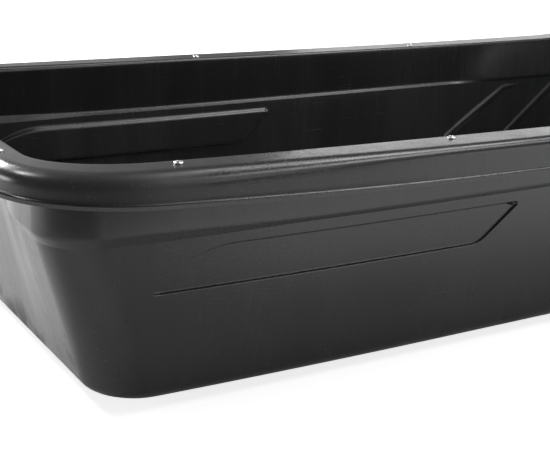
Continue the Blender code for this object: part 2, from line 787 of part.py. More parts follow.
def rivet_holes():
    """Holes through the rim and the top of the frame tube."""
    low = -SHEET - TUBE_RIM_GAP - TUBE_RADIUS
    for point, slope in rivet_places():
        hole = cylinder((0, 0, low), (0, 0, SHEET), RIVET_SHANK_RADIUS + HOLE_PLAY, TUBE_SIDES)
        hole.transform(tilted(point, slope))
        cutter("Rivet hole", hole, TUB_CUTS)


def tub():
    """The tub: half a surface, mirrored and thickened, then joined with its panels, ribs and bands."""
    mesh = mesh_from(tub_half, "Tub")
    result = add("tub", mesh, "tub")
    mirror = result.modifiers.new("Mirror", "MIRROR")
    mirror.use_axis = (False, True, False)
    mirror.merge_threshold = 0.00001
    thicken = result.modifiers.new("Thicken", "SOLIDIFY")
    thicken.thickness = SHEET
    thicken.offset = -1.0
    thicken.use_even_offset = True
    boolean(result, "UNION", TUB_ADDITIONS)
    boolean(result, "DIFFERENCE", TUB_CUTS)
    return result


# Rim frame and rivets

def frame_half(name, side):
    """Half of the tube under the rim, open at its ends, with rivet holes in its top."""
    path = [Vector((point.x, side * point.y, point.z)) for point in tube_path()]
    for end in (0, -1):
        path[end].y = side * TUBE_JOINT_GAP / 2
    mesh = tube(path, TUBE_RADIUS, TUBE_SIDES, capped=False)
    result = add(name, mesh, "tube")
    thicken = result.modifiers.new("Thicken", "SOLIDIFY")
    thicken.thickness = TUBE_WALL
    thicken.offset = -1.0
    thicken.use_even_offset = True
    boolean(result, "DIFFERENCE", TUB_CUTS)
    return result


def splice_plug(name, x):
    """Plug inside both tube ends where the frame's halves meet."""
    z = FLOOR_Z + rim_rise(x) - SHEET - TUBE_RIM_GAP - TUBE_RADIUS
    radius = (TUBE_RADIUS - TUBE_WALL) * math.cos(math.pi / TUBE_SIDES) - PLUG_PLAY
    mesh = cylinder((x, -PLUG_LENGTH / 2, z), (x, PLUG_LENGTH / 2, z), radius)
    return add(name, mesh, "tube", (x, 0.0, z))


def rivet(name, point, slope):
    """Rivet with a domed head on the rim and a bulb inside the frame tube."""
    flat = TUBE_RADIUS * (1 - math.cos(math.pi / TUBE_SIDES))
    neck = -SHEET - TUBE_RIM_GAP - TUBE_WALL - flat - 2 * GAP
    end = neck - RIVET_BULB_LENGTH
    last = math.radians(RIVET_DOME_DEGREES)
    profile = []
    for step in range(RIVET_DOME_STEPS + 1):
        angle = step / RIVET_DOME_STEPS * last
        share = (math.cos(angle) - math.cos(last)) / (1 - math.cos(last))
        height = RIVET_HEAD_EDGE + (RIVET_HEAD_HEIGHT - RIVET_HEAD_EDGE) * share
        profile.append((RIVET_HEAD_RADIUS * math.sin(angle) / math.sin(last), GAP + height))
    profile += [(RIVET_HEAD_RADIUS, GAP), (RIVET_SHANK_RADIUS, GAP), (RIVET_SHANK_RADIUS, neck),
                (RIVET_BULB_RADIUS, neck - RIVET_BULB_SLOPE), (RIVET_BULB_RADIUS, end + RIVET_BULB_SLOPE),
                (RIVET_SHANK_RADIUS, end), (0.0, end)]
    result = add(name, turned(profile), "rivet", sharp=40.0)
    result.matrix_world = tilted(point, slope)
    return result


# Runner strips, bolts and nuts

def runner_strip(name, y):
    """Strip under the floor that follows its curve, with a pocket for each nut."""
    places = [STRIP_REAR, (STRIP_REAR + FLOOR_REAR_X) / 2, FLOOR_REAR_X, STRIP_FRONT]
    outline = [(STRIP_REAR + STRIP_REAR_SLOPE, floor_rise(STRIP_REAR))]
    outline += [(x, floor_rise(x)) for x in places[1:3]]
    outline += [(STRIP_FRONT - STRIP_FRONT_SLOPE, 0.0), (STRIP_FRONT, STRIP_NOSE_HEIGHT)]
    outline += [(x, STRIP_THICKNESS + floor_rise(x)) for x in reversed(places)]
    mesh = plate(outline, STRIP_WIDTH, upright(y))
    cuts = []
    for x in STRIP_BOLT_X:
        below = (x, y, -CUT_REACH)
        cuts.append(cylinder(below, (x, y, STRIP_POCKET_DEPTH), STRIP_POCKET_RADIUS, ROUND))
        cuts.append(cylinder(below, (x, y, STRIP_THICKNESS + CUT_REACH), BOLT_RADIUS + HOLE_PLAY))
    return add(name, less(name, mesh, cuts), "strip", (0.0, y, 0.0))


def bolt(name, seat, direction, grip):
    """Bolt with a low domed head on its seat, and its shank along the direction."""
    end = -(grip + 2 * GAP + NUT_HEIGHT + THREAD_END)
    profile = [(BOLT_HEAD_RADIUS * out, GAP + BOLT_HEAD_HEIGHT * up) for out, up in BOLT_DOME]
    profile += [(BOLT_HEAD_RADIUS, GAP), (BOLT_RADIUS, GAP), (BOLT_RADIUS, end + BOLT_POINT),
                (BOLT_RADIUS - BOLT_POINT, end), (0.0, end)]
    result = add(name, turned(profile), "bolt")
    turn = Vector(direction).to_track_quat("-Z", "Y").to_matrix().to_4x4()
    result.matrix_world = Matrix.Translation(seat) @ turn
    return result


def nut_mesh(seat, direction, flats, height, bore):
    """Hexagon nut that starts at the seat and runs along the direction."""
    start = Vector(seat) + Vector(direction) * GAP
    end = start + Vector(direction) * height
    body = cylinder(start, end, flats / 2, 6, outside=True)
    reach = Vector(direction) * CUT_REACH
    hole = cylinder(start - reach, end + reach, bore + HOLE_PLAY, outside=True)
    return less("Nut", body, [hole])


def nut(name, seat, direction):
    """Nut of the small bolts."""
    return add(name, nut_mesh(seat, direction, NUT_FLATS, NUT_HEIGHT, BOLT_RADIUS), "bolt", seat)


def strip_fasteners(index, y):
    """Bolt down through the floor and the strip at each end, with its nut in the strip's pocket."""
    for place, x in zip(("rear", "front"), STRIP_BOLT_X):
        top = Vector((x, y, FLOOR_Z + SHEET))
        pocket = Vector((x, y, STRIP_POCKET_DEPTH))
        label = "{}_{}".format(index, place)
        bolt("strip_bolt_" + label, top, (0, 0, -1), top.z - pocket.z)
        nut("strip_nut_" + label, pocket, (0, 0, -1))
        reach = Vector((0.0, 0.0, CUT_REACH))
        cutter("Strip bolt hole", cylinder(top - reach, top + reach, BOLT_RADIUS + HOLE_PLAY), TUB_CUTS)


# Tow brackets on the bow wall

def bow_frame():
    """Foot of the hinge axis on the bow wall's outer face, and the way out from the wall."""
    lean = bow_lean()
    out = Vector((1.0, 0.0, -lean)).normalized()
    foot = Vector((FLOOR_FRONT + lean * BRACKET_HEIGHT, 0.0, FLOOR_Z + BRACKET_HEIGHT))
    return foot, out


def hinge_point(y=0.0):
    """Point on the hinge axis of the tow bar."""
    foot, out = bow_frame()
    point = foot + out * HINGE_STANDOFF
    return Vector((point.x, y, point.z))


def tow_bracket(name, side):
    """Base plate on the bow wall with two cheeks and a sill that the tow bar rests on."""
    foot, out = bow_frame()
    hinge = hinge_point(side * BRACKET_Y)
    width = BRACKET_INSIDE + 2 * BRACKET_PLATE + 2 * BRACKET_WING
    middle = Vector((foot.x, hinge.y, foot.z)) + out * (GAP + BRACKET_PLATE / 2)

    def on_plate(z):
        """Place along X of the base plate's middle plane at a height."""
        return middle.x + (z - middle.z) * bow_lean()
    sill_top = hinge.z - BAR_RADIUS - GAP
    sill_low = sill_top - BRACKET_PLATE
    front = hinge.x + CHEEK_FRONT
    top = hinge.z + CHEEK_TOP
    cheek = [(on_plate(sill_low), sill_low), (front, sill_low)]
    cheek += [(hinge.x + ahead, hinge.z + up) for ahead, up in CHEEK_NOSE]
    cheek.append((on_plate(top), top))
    sill = [(on_plate(sill_low), sill_low), (front, sill_low),
            (front, sill_top), (on_plate(sill_top), sill_top)]
    pieces = [bracket_base(middle, out, width)]
    for face in (-1, 1):
        y = hinge.y + face * (BRACKET_INSIDE + BRACKET_PLATE) / 2
        pieces.append(plate(cheek, BRACKET_PLATE, upright(y)))
    pieces.append(plate(sill, BRACKET_INSIDE + BRACKET_PLATE, upright(hinge.y)))
    reach = Vector((0.0, width, 0.0))
    cuts = [cylinder(hinge - reach, hinge + reach, PIN_RADIUS + HOLE_PLAY, ROUND)]
    for place in bracket_bolt_places(side):
        cuts.append(cylinder(place - out * CUT_REACH, place + out * CUT_REACH, BOLT_RADIUS + HOLE_PLAY))
    return add(name, less(name, united(name, pieces), cuts), "painted", hinge)


def bracket_base(middle, out, width):
    """Base plate that lies on the bow wall."""
    sideways = Vector((0.0, 1.0, 0.0))
    wall = Matrix((sideways, out.cross(sideways), out)).transposed().to_4x4()
    x, y = width / 2, BRACKET_HALF_HEIGHT
    return plate([(-x, -y), (x, -y), (x, y), (-x, y)], BRACKET_PLATE, Matrix.Translation(middle) @ wall)


def bracket_bolt_places(side):
    """Points on the bow wall's outer face under the bracket's bolts."""
    foot = bow_frame()[0]
    return [foot + Vector((0.0, side * BRACKET_Y + face * BRACKET_BOLT_Y, 0.0)) for face in (-1, 1)]


def bracket_fasteners(label, side):
    """Bolts from inside the tub, with nuts on the bracket's base plate."""
    out = bow_frame()[1]
    reach = out * CUT_REACH
    for number, place in enumerate(bracket_bolt_places(side), 1):
        name = "{}_{}".format(label, number)
        bolt("bracket_bolt_" + name, place - out * SHEET, out, SHEET + 2 * GAP + BRACKET_PLATE)
        nut("bracket_nut_" + name, place + out * (GAP + BRACKET_PLATE), out)
        cutter("Bracket bolt hole", cylinder(place - reach, place + reach, BOLT_RADIUS + HOLE_PLAY), TUB_CUTS)


# Tow bar, hinge pins, clips and tow eye

def tow_bar():
    """Welded frame: two bars from the hinge to the nose sleeve, with a brace between them."""
    hinge = hinge_point()
    half = Vector((0.0, BRACKET_INSIDE / 2 - GAP, 0.0))
    reach = Vector((0.0, BRACKET_INSIDE / 2 + BRACKET_PLATE, 0.0))
    pieces = []
    cuts = []
    for side in (-1, 1):
        lug = hinge_point(side * BRACKET_Y)
        pieces.append(cylinder(lug - half, lug + half, BAR_RADIUS, ROUND))
        cuts.append(cylinder(lug - reach, lug + reach, PIN_RADIUS + RUN, ROUND, outside=True))
        pieces.append(tube(rounded(bar_line(side), BAR_BEND, 4), BAR_RADIUS, SMALL_ROUND))
    _, bend, beside_nut, _ = bar_line(1)
    brace = bend.lerp(beside_nut, (BRACE_X - bend.x) / (beside_nut.x - bend.x))
    pieces.append(cylinder((brace.x, -brace.y, brace.z), brace, BRACE_RADIUS))
    sleeve = [Vector((NOSE_X + way * NOSE_LENGTH / 2, 0.0, hinge.z)) for way in (-1, 1)]
    pieces.append(cylinder(*sleeve, NOSE_RADIUS, ROUND))
    ahead = Vector((CUT_REACH, 0.0, 0.0))
    cuts.append(cylinder(sleeve[0] - ahead, sleeve[1] + ahead, SHANK_RADIUS + RUN, ROUND, outside=True))
    return add("tow_bar", less("Tow bar", united("Tow bar", pieces), cuts), "painted", hinge)


def bar_line(side):
    """Corners of one bar's middle line: lug, bend, beside the eye's nut, and into the sleeve's side."""
    lug = hinge_point(side * BRACKET_Y)
    return [lug + Vector((PIN_RADIUS + BAR_FROM_PIN, 0.0, 0.0)), lug + Vector((BAR_STRAIGHT, 0.0, 0.0)),
            Vector((NOSE_X - NOSE_LENGTH / 2 - EYE_NUT_HEIGHT - SHANK_END, side * NUT_SIDE_Y, lug.z)),
            Vector((NOSE_X + BAR_INTO_NOSE, side * (NOSE_RADIUS - BAR_WELD), lug.z))]


def hinge_pin(name, side):
    """Pin through both cheeks, its head inboard, with a cross hole outboard for the clip."""
    centre = hinge_point(side * BRACKET_Y)
    outer = BRACKET_INSIDE / 2 + BRACKET_PLATE
    inboard = centre - Vector((0.0, side * (outer + GAP), 0.0))
    outboard = centre + Vector((0.0, side * (outer + PIN_TAIL), 0.0))
    head = cylinder(inboard - Vector((0.0, side * PIN_HEAD_HEIGHT, 0.0)), inboard, PIN_HEAD_RADIUS, ROUND)
    shank = cylinder(inboard - Vector((0.0, side * PIN_HEAD_HEIGHT / 2, 0.0)), outboard, PIN_RADIUS, ROUND)
    place = clip_place(side)
    reach = Vector((0.0, 0.0, CUT_REACH))
    hole = cylinder(place - reach, place + reach, CLIP_RADIUS + HOLE_PLAY, 8)
    return add(name, less(name, united(name, [head, shank]), [hole]), "bolt", centre)


def clip_place(side):
    """Middle of the clip's cross hole in the pin."""
    return hinge_point(side * (BRACKET_Y + BRACKET_INSIDE / 2 + BRACKET_PLATE + CLIP_FROM_CHEEK))


def spring_clip(name, side):
    """Clip of spring wire that hangs down: one leg through the pin, the other bowed round it."""
    place = clip_place(side)
    points = [place + Vector((forward, 0.0, -down)) for forward, down in CLIP_LINE]
    return add(name, tube(rounded(points, CLIP_BEND, 2), CLIP_RADIUS, 8), "bolt", place)


def tow_eye(bar):
    """Ring with a shank that turns in the nose sleeve."""
    z = hinge_point().z
    front = NOSE_X + NOSE_LENGTH / 2 + GAP
    collar_end = front + COLLAR_LENGTH
    rear = NOSE_X - NOSE_LENGTH / 2 - EYE_NUT_HEIGHT - SHANK_END
    centre = Vector((collar_end + EYE_RADIUS + EYE_WIRE - WELD, 0.0, z))
    pieces = [ring(centre, EYE_RADIUS, EYE_WIRE),
              cylinder((front, 0.0, z), (collar_end, 0.0, z), COLLAR_RADIUS, ROUND),
              cylinder((rear, 0.0, z), (collar_end + WELD, 0.0, z), SHANK_RADIUS, ROUND)]
    return add("tow_eye", united("Tow eye", pieces), "eye", centre, bar)


def tow_eye_nut(bar):
    """Nut that holds the eye's shank behind the sleeve."""
    seat = Vector((NOSE_X - NOSE_LENGTH / 2, 0.0, hinge_point().z))
    mesh = nut_mesh(seat, (-1, 0, 0), EYE_NUT_FLATS, EYE_NUT_HEIGHT, SHANK_RADIUS)
    return add("tow_eye_nut", mesh, "eye", seat, bar)


# Build

def clear_scene():
    """Remove what the scene starts with."""
    for obj in list(bpy.data.objects):
        bpy.data.objects.remove(obj)


def main():
    """Make every part."""
    clear_scene()
    for collection in (PARTS, CUTTERS, TUB_ADDITIONS, TUB_CUTS):
        bpy.context.scene.collection.children.link(collection)
    for index, y in enumerate(STRIP_Y, 1):
        runner_strip("runner_strip_{}".format(index), y)
        strip_fasteners(index, y)
    for label, side in (("right", -1), ("left", 1)):
        tow_bracket("tow_bracket_" + label, side)
        bracket_fasteners(label, side)
        hinge_pin("hinge_pin_" + label, side)
        spring_clip("pin_clip_" + label, side)
    splice_plug("splice_plug_rear", -TUBE_REAR)
    splice_plug("splice_plug_front", TUBE_FRONT)
    for number, (point, slope) in enumerate(rivet_places(), 1):
        rivet("rivet_{:02d}".format(number), point, slope)
    bar = tow_bar()
    tow_eye(bar)
    tow_eye_nut(bar)
    side_panels()
    side_ribs()
    floor_bands()
    rivet_holes()
    frame_half("frame_tube_right", -1)
    frame_half("frame_tube_left", 1)
    tub()


main()
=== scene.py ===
import json
import math

import bmesh
import bpy
from mathutils import Matrix, Vector, geometry


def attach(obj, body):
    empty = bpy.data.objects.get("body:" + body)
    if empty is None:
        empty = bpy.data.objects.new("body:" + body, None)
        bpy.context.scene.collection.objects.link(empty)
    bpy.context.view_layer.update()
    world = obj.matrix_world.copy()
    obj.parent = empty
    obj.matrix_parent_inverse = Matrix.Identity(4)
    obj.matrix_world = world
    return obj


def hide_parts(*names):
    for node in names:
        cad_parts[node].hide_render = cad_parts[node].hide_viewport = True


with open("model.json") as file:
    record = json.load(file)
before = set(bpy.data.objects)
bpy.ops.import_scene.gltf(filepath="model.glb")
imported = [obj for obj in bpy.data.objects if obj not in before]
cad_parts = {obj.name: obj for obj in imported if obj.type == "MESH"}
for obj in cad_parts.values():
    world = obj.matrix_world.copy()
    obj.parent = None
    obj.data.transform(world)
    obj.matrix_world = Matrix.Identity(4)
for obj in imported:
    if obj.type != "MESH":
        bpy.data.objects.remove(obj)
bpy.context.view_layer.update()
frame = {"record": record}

# Camera of the photograph: its place, the way it looks, its right side and its lens
IMAGE_WIDTH = 550
FOCAL_PIXELS = 1174.35
CAMERA_PLACE = Vector((-1.2637, -1.5406, 0.6483))
CAMERA_FORWARD = Vector((0.4841, 0.8259, -0.2890))
CAMERA_RIGHT = Vector((0.8655, -0.5005, 0.0195))
CAMERA_REACH = (0.05, 200.0)
SENSOR_WIDTH = 36.0

# Sheet of the tub and how high its floor stands
SHEET = 0.0045
FLOOR_Z = 0.016
FLOOR_REAR_X = -0.27             # behind this the floor sweeps up
FLOOR_SWEEP_RADIUS = 20.0

# Outer corner of the floor and the lean of the side and rear walls
FLOOR_HALF_WIDTH = 0.333
FLOOR_REAR = 0.7866
FLOOR_FRONT = 0.5793
FLOOR_RADIUS = 0.022
BOW_RADIUS = 0.170
SIDE_LEAN = math.tan(math.radians(6.73))
REAR_LEAN = math.tan(math.radians(17.0))

# Ledge along the wall, where the upper band stands further out
LEDGE_HEIGHT = 0.2140
LEDGE_RISE = 0.012
LEDGE_STEP = 0.0032
LEDGE_RADII = (0.001, 0.0075)    # low and high bend of the inner face
SLIM_LEDGE_RISE = 0.0055
SLIM_LEDGE_X = (-0.72, -0.50)    # from there to here the ledge gets as slim as along the sides
LEDGE_TURN = 1.6                 # the ledge turns into a crease where it runs out forward
CREASE_END_X = (0.56, 0.66)
LEDGE_FADE_X = (0.26, 0.38)
LEDGE_FADE_Y = (0.10, 0.24)

# Rim: its sweep in side view, its inner edge, its flat top, skirt and trimmed lip
RIM_HEIGHT = 0.2984
RIM_LOW_X = 0.53
RIM_SWEEP_RADIUS = 51.0
BOW_RISE_X = 0.50
BOW_SWEEP_RADIUS = 1.667
RIM_HALF = FLOOR_HALF_WIDTH + 0.0225
RIM_REAR = FLOOR_REAR + 0.0624
RIM_FRONT = FLOOR_FRONT + 0.2587
RIM_WIDTH = 0.0585
RIM_END_WIDTH = 0.051
RIM_EDGE_RADII = (0.005, 0.009)  # sharp along the sides, soft near the rear corners
SHOULDER_RADII = (0.012, 0.021)
RIM_SOFT_X = (-0.74, -0.30)      # from there to here the edges get sharper
SKIRT_DEPTH = 0.0410
SKIRT_FLARE = 0.0038
SKIRT_END_FLARE = -0.001
SKIRT_SWEEP_RADIUS = 17.9
SKIRT_RADIUS = 0.0025
LIP_WIDTH = 0.0057
RIM_NARROWING = 0.006

# Corners of the tub in plan, along X and along Y, and how square their superellipses are
FLOOR_CORNER = (0.070, 0.070)
LEDGE_CORNER = (0.060, 0.062)
EDGE_CORNER = (0.130, 0.090)
SHOULDER_CORNER = (0.170, 0.140)
REAR_CORNER_POWER = 2.25
WALL_CORNER_POWER = 1.95
BOW_FLOOR_CORNER = (0.100, 0.150)
BOW_WALL_CORNER = (0.150, 0.175)
BOW_EDGE_CORNER = (0.200, 0.200)
BOW_SHOULDER_CORNER = (0.251, 0.2585)

# Recessed panel on each side wall, as places along X and heights above the floor
PANEL_REAR = -0.731
PANEL_FRONT = -0.240
PANEL_TIP = -0.1795
PANEL_TOP_REAR = -0.618
PANEL_BOTTOM = 0.1457
PANEL_TOP = 0.1997
PANEL_DEPTH = 0.0035
PANEL_EDGE = 0.0015
PANEL_TIP_DROP = 0.003
PANEL_TIP_WIDTH = 0.005
PANEL_GROWTH = (0.4, 1.4)        # how much of a growth its front corner and its tip take along X
PANEL_REAR_ANGLE = math.radians(76.0)
PANEL_REAR_POWER = 1.8
PANEL_REAR_STEPS = 14
PANEL_ROUNDS = {0: 0.003, 1: 0.035, 2: 0.0022, 3: 0.0022}    # radius at each corner, from the low rear one
PANEL_STEP = 0.012
PANEL_ROUND_STEPS = 4
PLATEAU_DEPTH = 0.0055
PLATEAU_SLOPE = 0.0068           # width of its edge inside the tub, and outside
RECESS_SLOPE = 0.0026

# Slanted ribs on each side wall, from their low end to their high end
RIBS = (((0.246, 0.110), (0.3935, 0.2027)), ((0.4007, 0.106), (0.533, 0.2027)))
RIB_SIZE = (0.0095, 0.0022)      # half width and height inside the tub
GROOVE_SIZE = (0.0075, 0.0020)   # and outside
RIB_TAIL = (0.070, 0.006)        # how far its top runs forward and up before it fades out
RIB_BEND = 0.018
RIB_BEND_STEPS = 6
RIB_TAPER = (0.85, 0.8)          # where it starts to taper, as a share of its length, and by how much
RIB_LOOPS = (-0.2, 0.0, 0.15, 0.3, 0.45, 0.6, 0.75, 0.9, 1.0)    # places from its foot to its top
RIB_SHRINK = 0.94                # by how much it is narrower at its top
RIB_END_STEPS = 6

# Raised bands in the floor
BAND_Y = 0.115
BAND_HALF_WIDTH = 0.045
BAND_ENDS = (-0.62, 0.42)
BAND_HEIGHT = 0.006
BAND_SLOPE = 0.006
BAND_CORNER = 0.022
BAND_STEP = 0.03
BAND_ROUND_STEPS = 6
BAND_BEND_SHARE = 0.4            # of the sheet, by which a band is wider inside

# Rim frame
TUBE_RADIUS = 0.011
TUBE_WALL = 0.0015
TUBE_RIM_GAP = 0.0006
TUBE_HALF = RIM_HALF + 0.0158
TUBE_REAR = RIM_REAR + RIM_END_WIDTH / 2
TUBE_FRONT = RIM_FRONT + RIM_END_WIDTH / 2 + 0.001
TUBE_CORNERS = ((0.155, 0.116), (0.225, 0.216))              # at the rear and at the bow
TUBE_PLAN = (TUBE_HALF, TUBE_REAR, TUBE_FRONT, *TUBE_CORNERS)
TUBE_JOINT_GAP = 0.0006
TUBE_SIDES = 28

# Small clearances: between faces that touch, round a shank and round a turning pin
TOUCH = 0.0003
HOLE_PLAY = 0.0003
RUN = 0.00005

# Steps and edges of turned and bent pieces
TURNED_STEPS = 48
TURNED_EDGE = 0.001
EDGE_SHARE = 0.3                 # how far in the middle point of a turned edge lies
SAME_POINT = 0.000001
BEND_STEPS = 10
SHARP = 35.0                     # degrees between faces above which an edge is sharp

# Rivets
RIVET_SIDE_X = (-0.7064, -0.3167, 0.163, 0.600)
RIVET_END_Y = (0.246, 0.100)
RIVET_RADIUS = 0.00575           # the head's, and its height
RIVET_HEIGHT = 0.003
RIVET_EDGE = 0.0006
# Dimple in a rivet's head, as shares of its radius and height
RIVET_DIMPLE = ((0.0, 0.86), (0.12, 0.85), (0.17, 0.78), (0.19, 0.72), (0.22, 0.74), (0.26, 0.96),
                (0.30, 1.0))
RIVET_DOME = math.radians(80)
RIVET_DOME_STEPS = 10
RIVET_STEPS = 40
RIVET_SHANK = 0.0024
RIVET_BULB = 0.0036
RIVET_BULB_LENGTH = 0.0035

# Bolts and nuts
BOLT_RADIUS = 0.004
BOLT_HEAD_RADIUS = 0.009
BOLT_HEAD_HEIGHT = 0.0042
BOLT_HEAD_STEPS = 8
BOLT_DOME = math.radians(82)
BOLT_RIM_SHARE = 0.25            # of the head's height, under its dome
BOLT_EDGE = 0.0005
NUT_FLATS = 0.013
NUT_HEIGHT = 0.0065
NUT_SINK = 0.0004
NUT_LEVELS = (0.0, 0.035, 0.07, 0.105, 0.14)     # shares of its height where its corners are turned off
NUT_TURNED = (0.96, math.radians(62))            # share of its flats at its end, and the slope from there
NUT_STEPS = 72
THREAD_END = 0.0015
THREAD_PITCH = 0.00125
THREAD_DEPTH = 0.0005

# Runner strips
STRIP_Y = (-0.215, 0.0, 0.215)
STRIP_WIDTH = 0.040
STRIP_THICKNESS = 0.0157
STRIP_ENDS = (-0.60, 0.47)
STRIP_STEPS = 60
STRIP_SLOPES = (0.012, 0.020)    # length of the cut at each end
STRIP_NOSE = 0.008
STRIP_EDGE = 0.003
STRIP_TOP_EDGE = STRIP_EDGE / 4
STRIP_ROUND_STEPS = (5, 2)       # below and above
STRIP_BOLT_X = (-0.20, 0.40)
STRIP_POCKET = 0.0085
STRIP_POCKET_RADIUS = 0.0105

# Tow brackets, pins, clips and weld beads
BRACKET_Y = 0.105
BRACKET_HEIGHT = 0.150
BRACKET_PLATE = 0.004
BRACKET_INSIDE = 0.036
BRACKET_BOLT_Y = 0.0335
BRACKET_EDGE = 0.0007
BRACKET_EDGE_STEPS = 2
CHEEK_TOP = 0.016
SILL_DROP = -0.0153              # underside of the bracket's sill, from the hinge
HINGE_STANDOFF = 0.020
PIN_RADIUS = 0.005
PIN_HEAD_RADIUS = 0.008
PIN_HEAD_HEIGHT = 0.004
PIN_TAIL = 0.014
PIN_HEAD_EDGE = 0.0012
PIN_EDGE = 0.0014
CLIP_RADIUS = 0.00125
CLIP_FROM_CHEEK = 0.005
CLIP_BEND = 0.002
CLIP_BEND_STEPS = 6
CLIP_SIDES = 14
CLIP_HOLE_EDGE = 0.0001
CLIP_HOLE_STEPS = 20
CLIP_AWAY = PIN_RADIUS + CLIP_RADIUS + TOUCH
CLIP_LINE = ((0.0, -0.012), (0.0, 0.032), (0.004, 0.040), (0.012, 0.038), (0.014, 0.030), (0.009, 0.018),
             (CLIP_AWAY, 0.009), (CLIP_AWAY + 0.0006, 0.0), (CLIP_AWAY, -0.006), (CLIP_AWAY + 0.005, -0.012))
WELD_RADIUS = 0.0024
BAR_WELD_RADIUS = 0.0020
WELD_RIPPLE = 0.0030
WELD_SWELL = 0.14
WELD_SIDES = 12
WELD_PIECES = 8                  # into which each stretch of its line is divided first
WELD_RIPPLE_STEPS = 4
BRACE_WELD_STEPS = 32
NOSE_WELD_STEPS = 16

# Tow bar and tow eye
BAR_RADIUS = 0.011
BAR_STRAIGHT = 0.080
BAR_BEND = 0.120
BAR_FROM_PIN = 0.003
BAR_INTO_NOSE = 0.020
BAR_WELD = 0.004
BAR_SIDES = 40
LUG_EDGE = 0.0008
NUT_SIDE_Y = 0.031
NOSE_X = 1.500
NOSE_LENGTH = 0.100
NOSE_REAR = NOSE_X - NOSE_LENGTH / 2
NOSE_RADIUS = 0.017
NOSE_EDGE = 0.0015
NOSE_STEPS = 64
BRACE_X = 0.980
BRACE_RADIUS = 0.008
SHANK_RADIUS = 0.008
SHANK_END = 0.006
COLLAR_RADIUS = 0.014
COLLAR_LENGTH = 0.008
EYE_RADIUS = 0.030
EYE_WIRE = 0.009
EYE_STEPS = 72
EYE_SIDES = 28
EYE_NUT_FLATS = 0.024
EYE_NUT_HEIGHT = 0.013
FORGED = 0.004                   # how far the parts of the forging run into each other

# Light: lamps by azimuth from X, elevation, distance, size and power, and the floor
LAMP_AIM = Vector((0.0, 0.0, 0.2))
LAMPS = (("Front left", -75, 22, 4.5, (1.3, 1.3), 9.0),
         ("Front", -52, 40, 4.5, (1.8, 1.0), 44.0),
         ("Front low", -53, 4, 4.5, (1.5, 0.5), 7.0),
         ("Right high", -18, 57, 4.5, (1.3, 1.3), 58.0),
         ("Right low", -15, 22, 4.5, (1.3, 1.3), 30.0),
         ("Back right", 41, 14, 5.0, (3.7, 1.1), 20.0),
         ("Back", 83, 16, 5.0, (2.0, 1.0), 4.0),
         ("Rear high", 145, 48, 4.5, (0.8, 0.8), 50.0),
         ("Top", 0, 75, 3.5, (1.2, 1.2), 20.0),
         ("Back left", 112, 28, 4.0, (1.4, 0.8), 110.0),
         ("Left", 157, 8, 3.8, (1.0, 0.8), 24.0))
WHITE = (1.0, 1.0, 1.0, 1.0)
WORLD_LIGHT = 0.10
WORLD_MIRRORED = 0.25
FLOOR_SIZE = 60.0
FLOOR_CELLS = 8
FLOOR_DROP = 0.0003
FLOOR_TONE = 0.80
FLOOR_ROUGHNESS = 0.9
FLOOR_SPECULAR = 0.2
CAMERA_GLOW = 0.80
# The floor's glow in reflections is painted light: a painted pool of light behind the tub and out in front,
# and painted shade along the near side
GLOW_EDGE_Y = (-0.235, -0.165)   # behind the tub the mirrored floor gets brighter from here
GLOW_SPAN_Y = (-0.17, 0.20)
GLOW_BEHIND = (0.27, 0.45)
SHADE_END_X = (-0.62, -0.32)     # where the painted shade along the near side ends, and how far it reaches out
SHADE_EDGE_Y = (-0.50, -0.68)
GLOW_LOW, GLOW_BESIDE = 0.05, 0.88

# Shared by the materials: colour inputs and output of a mixing node, and where most of a noise lies
MIX_INPUTS, MIX_OUTPUT = (6, 7), 2
MIDDLE = (0.3, 0.7)

# Noises of the plastic: scale, detail, roughness, stretch and degrees of turn
STREAKS = (85.0, 2.0, 0.5, (1.0, 1.0, 0.045))
CLOUDS = (9.0, 3.0, 0.5, (1.0, 1.0, 0.25))
WAVES = (16.0, 2.0, 0.5, (1.0, 1.0, 0.4))
FINE = (900.0, 2.0)
PATCHES = (30.0, 2.0)

# Noises of its wear with the limits between which each shows: scuffs, where they are, rubs and smudges
WEAR = (((3.0, 4.0, 0.6, (4.0, 4.0, 90.0), 38.0), (0.62, 0.78)), ((5.0, 2.0), (0.45, 0.62)),
        ((5.0, 3.0, 0.6, (26.0, 26.0, 150.0), -32.0), (0.52, 0.68)), ((13.0, 2.0), (0.52, 0.64)))
DUST_SCALE = 240.0
DUST_SIZE = (0.05, 0.12)
DUSTY, DUSTY_CORNER = (0.66, 0.70), (0.42, 0.50)
SMUDGED_CORNER = 0.7

# Wear on the tub: the knocked corner of the rim, the rubbed band and the smudges low on the walls
WORN_CORNER = (-0.785, -0.392, 0.315)
WORN_REACH = (0.04, 0.11)
RUBBED_PLACE = (-0.60, -0.365, 0.265)
RUBBED_REACH = (0.07, 0.16)
SMUDGE_HEIGHT = (0.035, 0.085)

# Colours and roughness of the plastic, and the shares and colours of smudges, scuffs and dust
PLASTIC_COLOUR = (0.020, 0.021, 0.023)
PLASTIC_ROUGHNESS = 0.34
CLOUD_COLOURS = ((0.013, 0.0134, 0.0146), (0.0195, 0.020, 0.0215))
CLOUD_ROUGHNESS = (0.22, 0.29)
STREAK_TINT = (0.35, 0.75, 0.0, 0.3)
STREAK_COLOUR = (0.023, 0.0238, 0.0254)
STREAK_ROUGHNESS = (*MIDDLE, -0.012, 0.018)
WEAR_COLOURS = ((0.85, (0.005, 0.005, 0.0055)), (0.35, (0.07, 0.07, 0.072)), (0.8, (0.32, 0.32, 0.31)))
SCUFF_ROUGHNESS, SMUDGE_ROUGHNESS = 0.15, 0.28

# Distance and strength of the plastic's bumps
WAVE_BUMP = (0.0012, 0.5)
STREAK_BUMP = (0.0001, 0.18)
FINE_BUMP = (0.00004, 0.5)

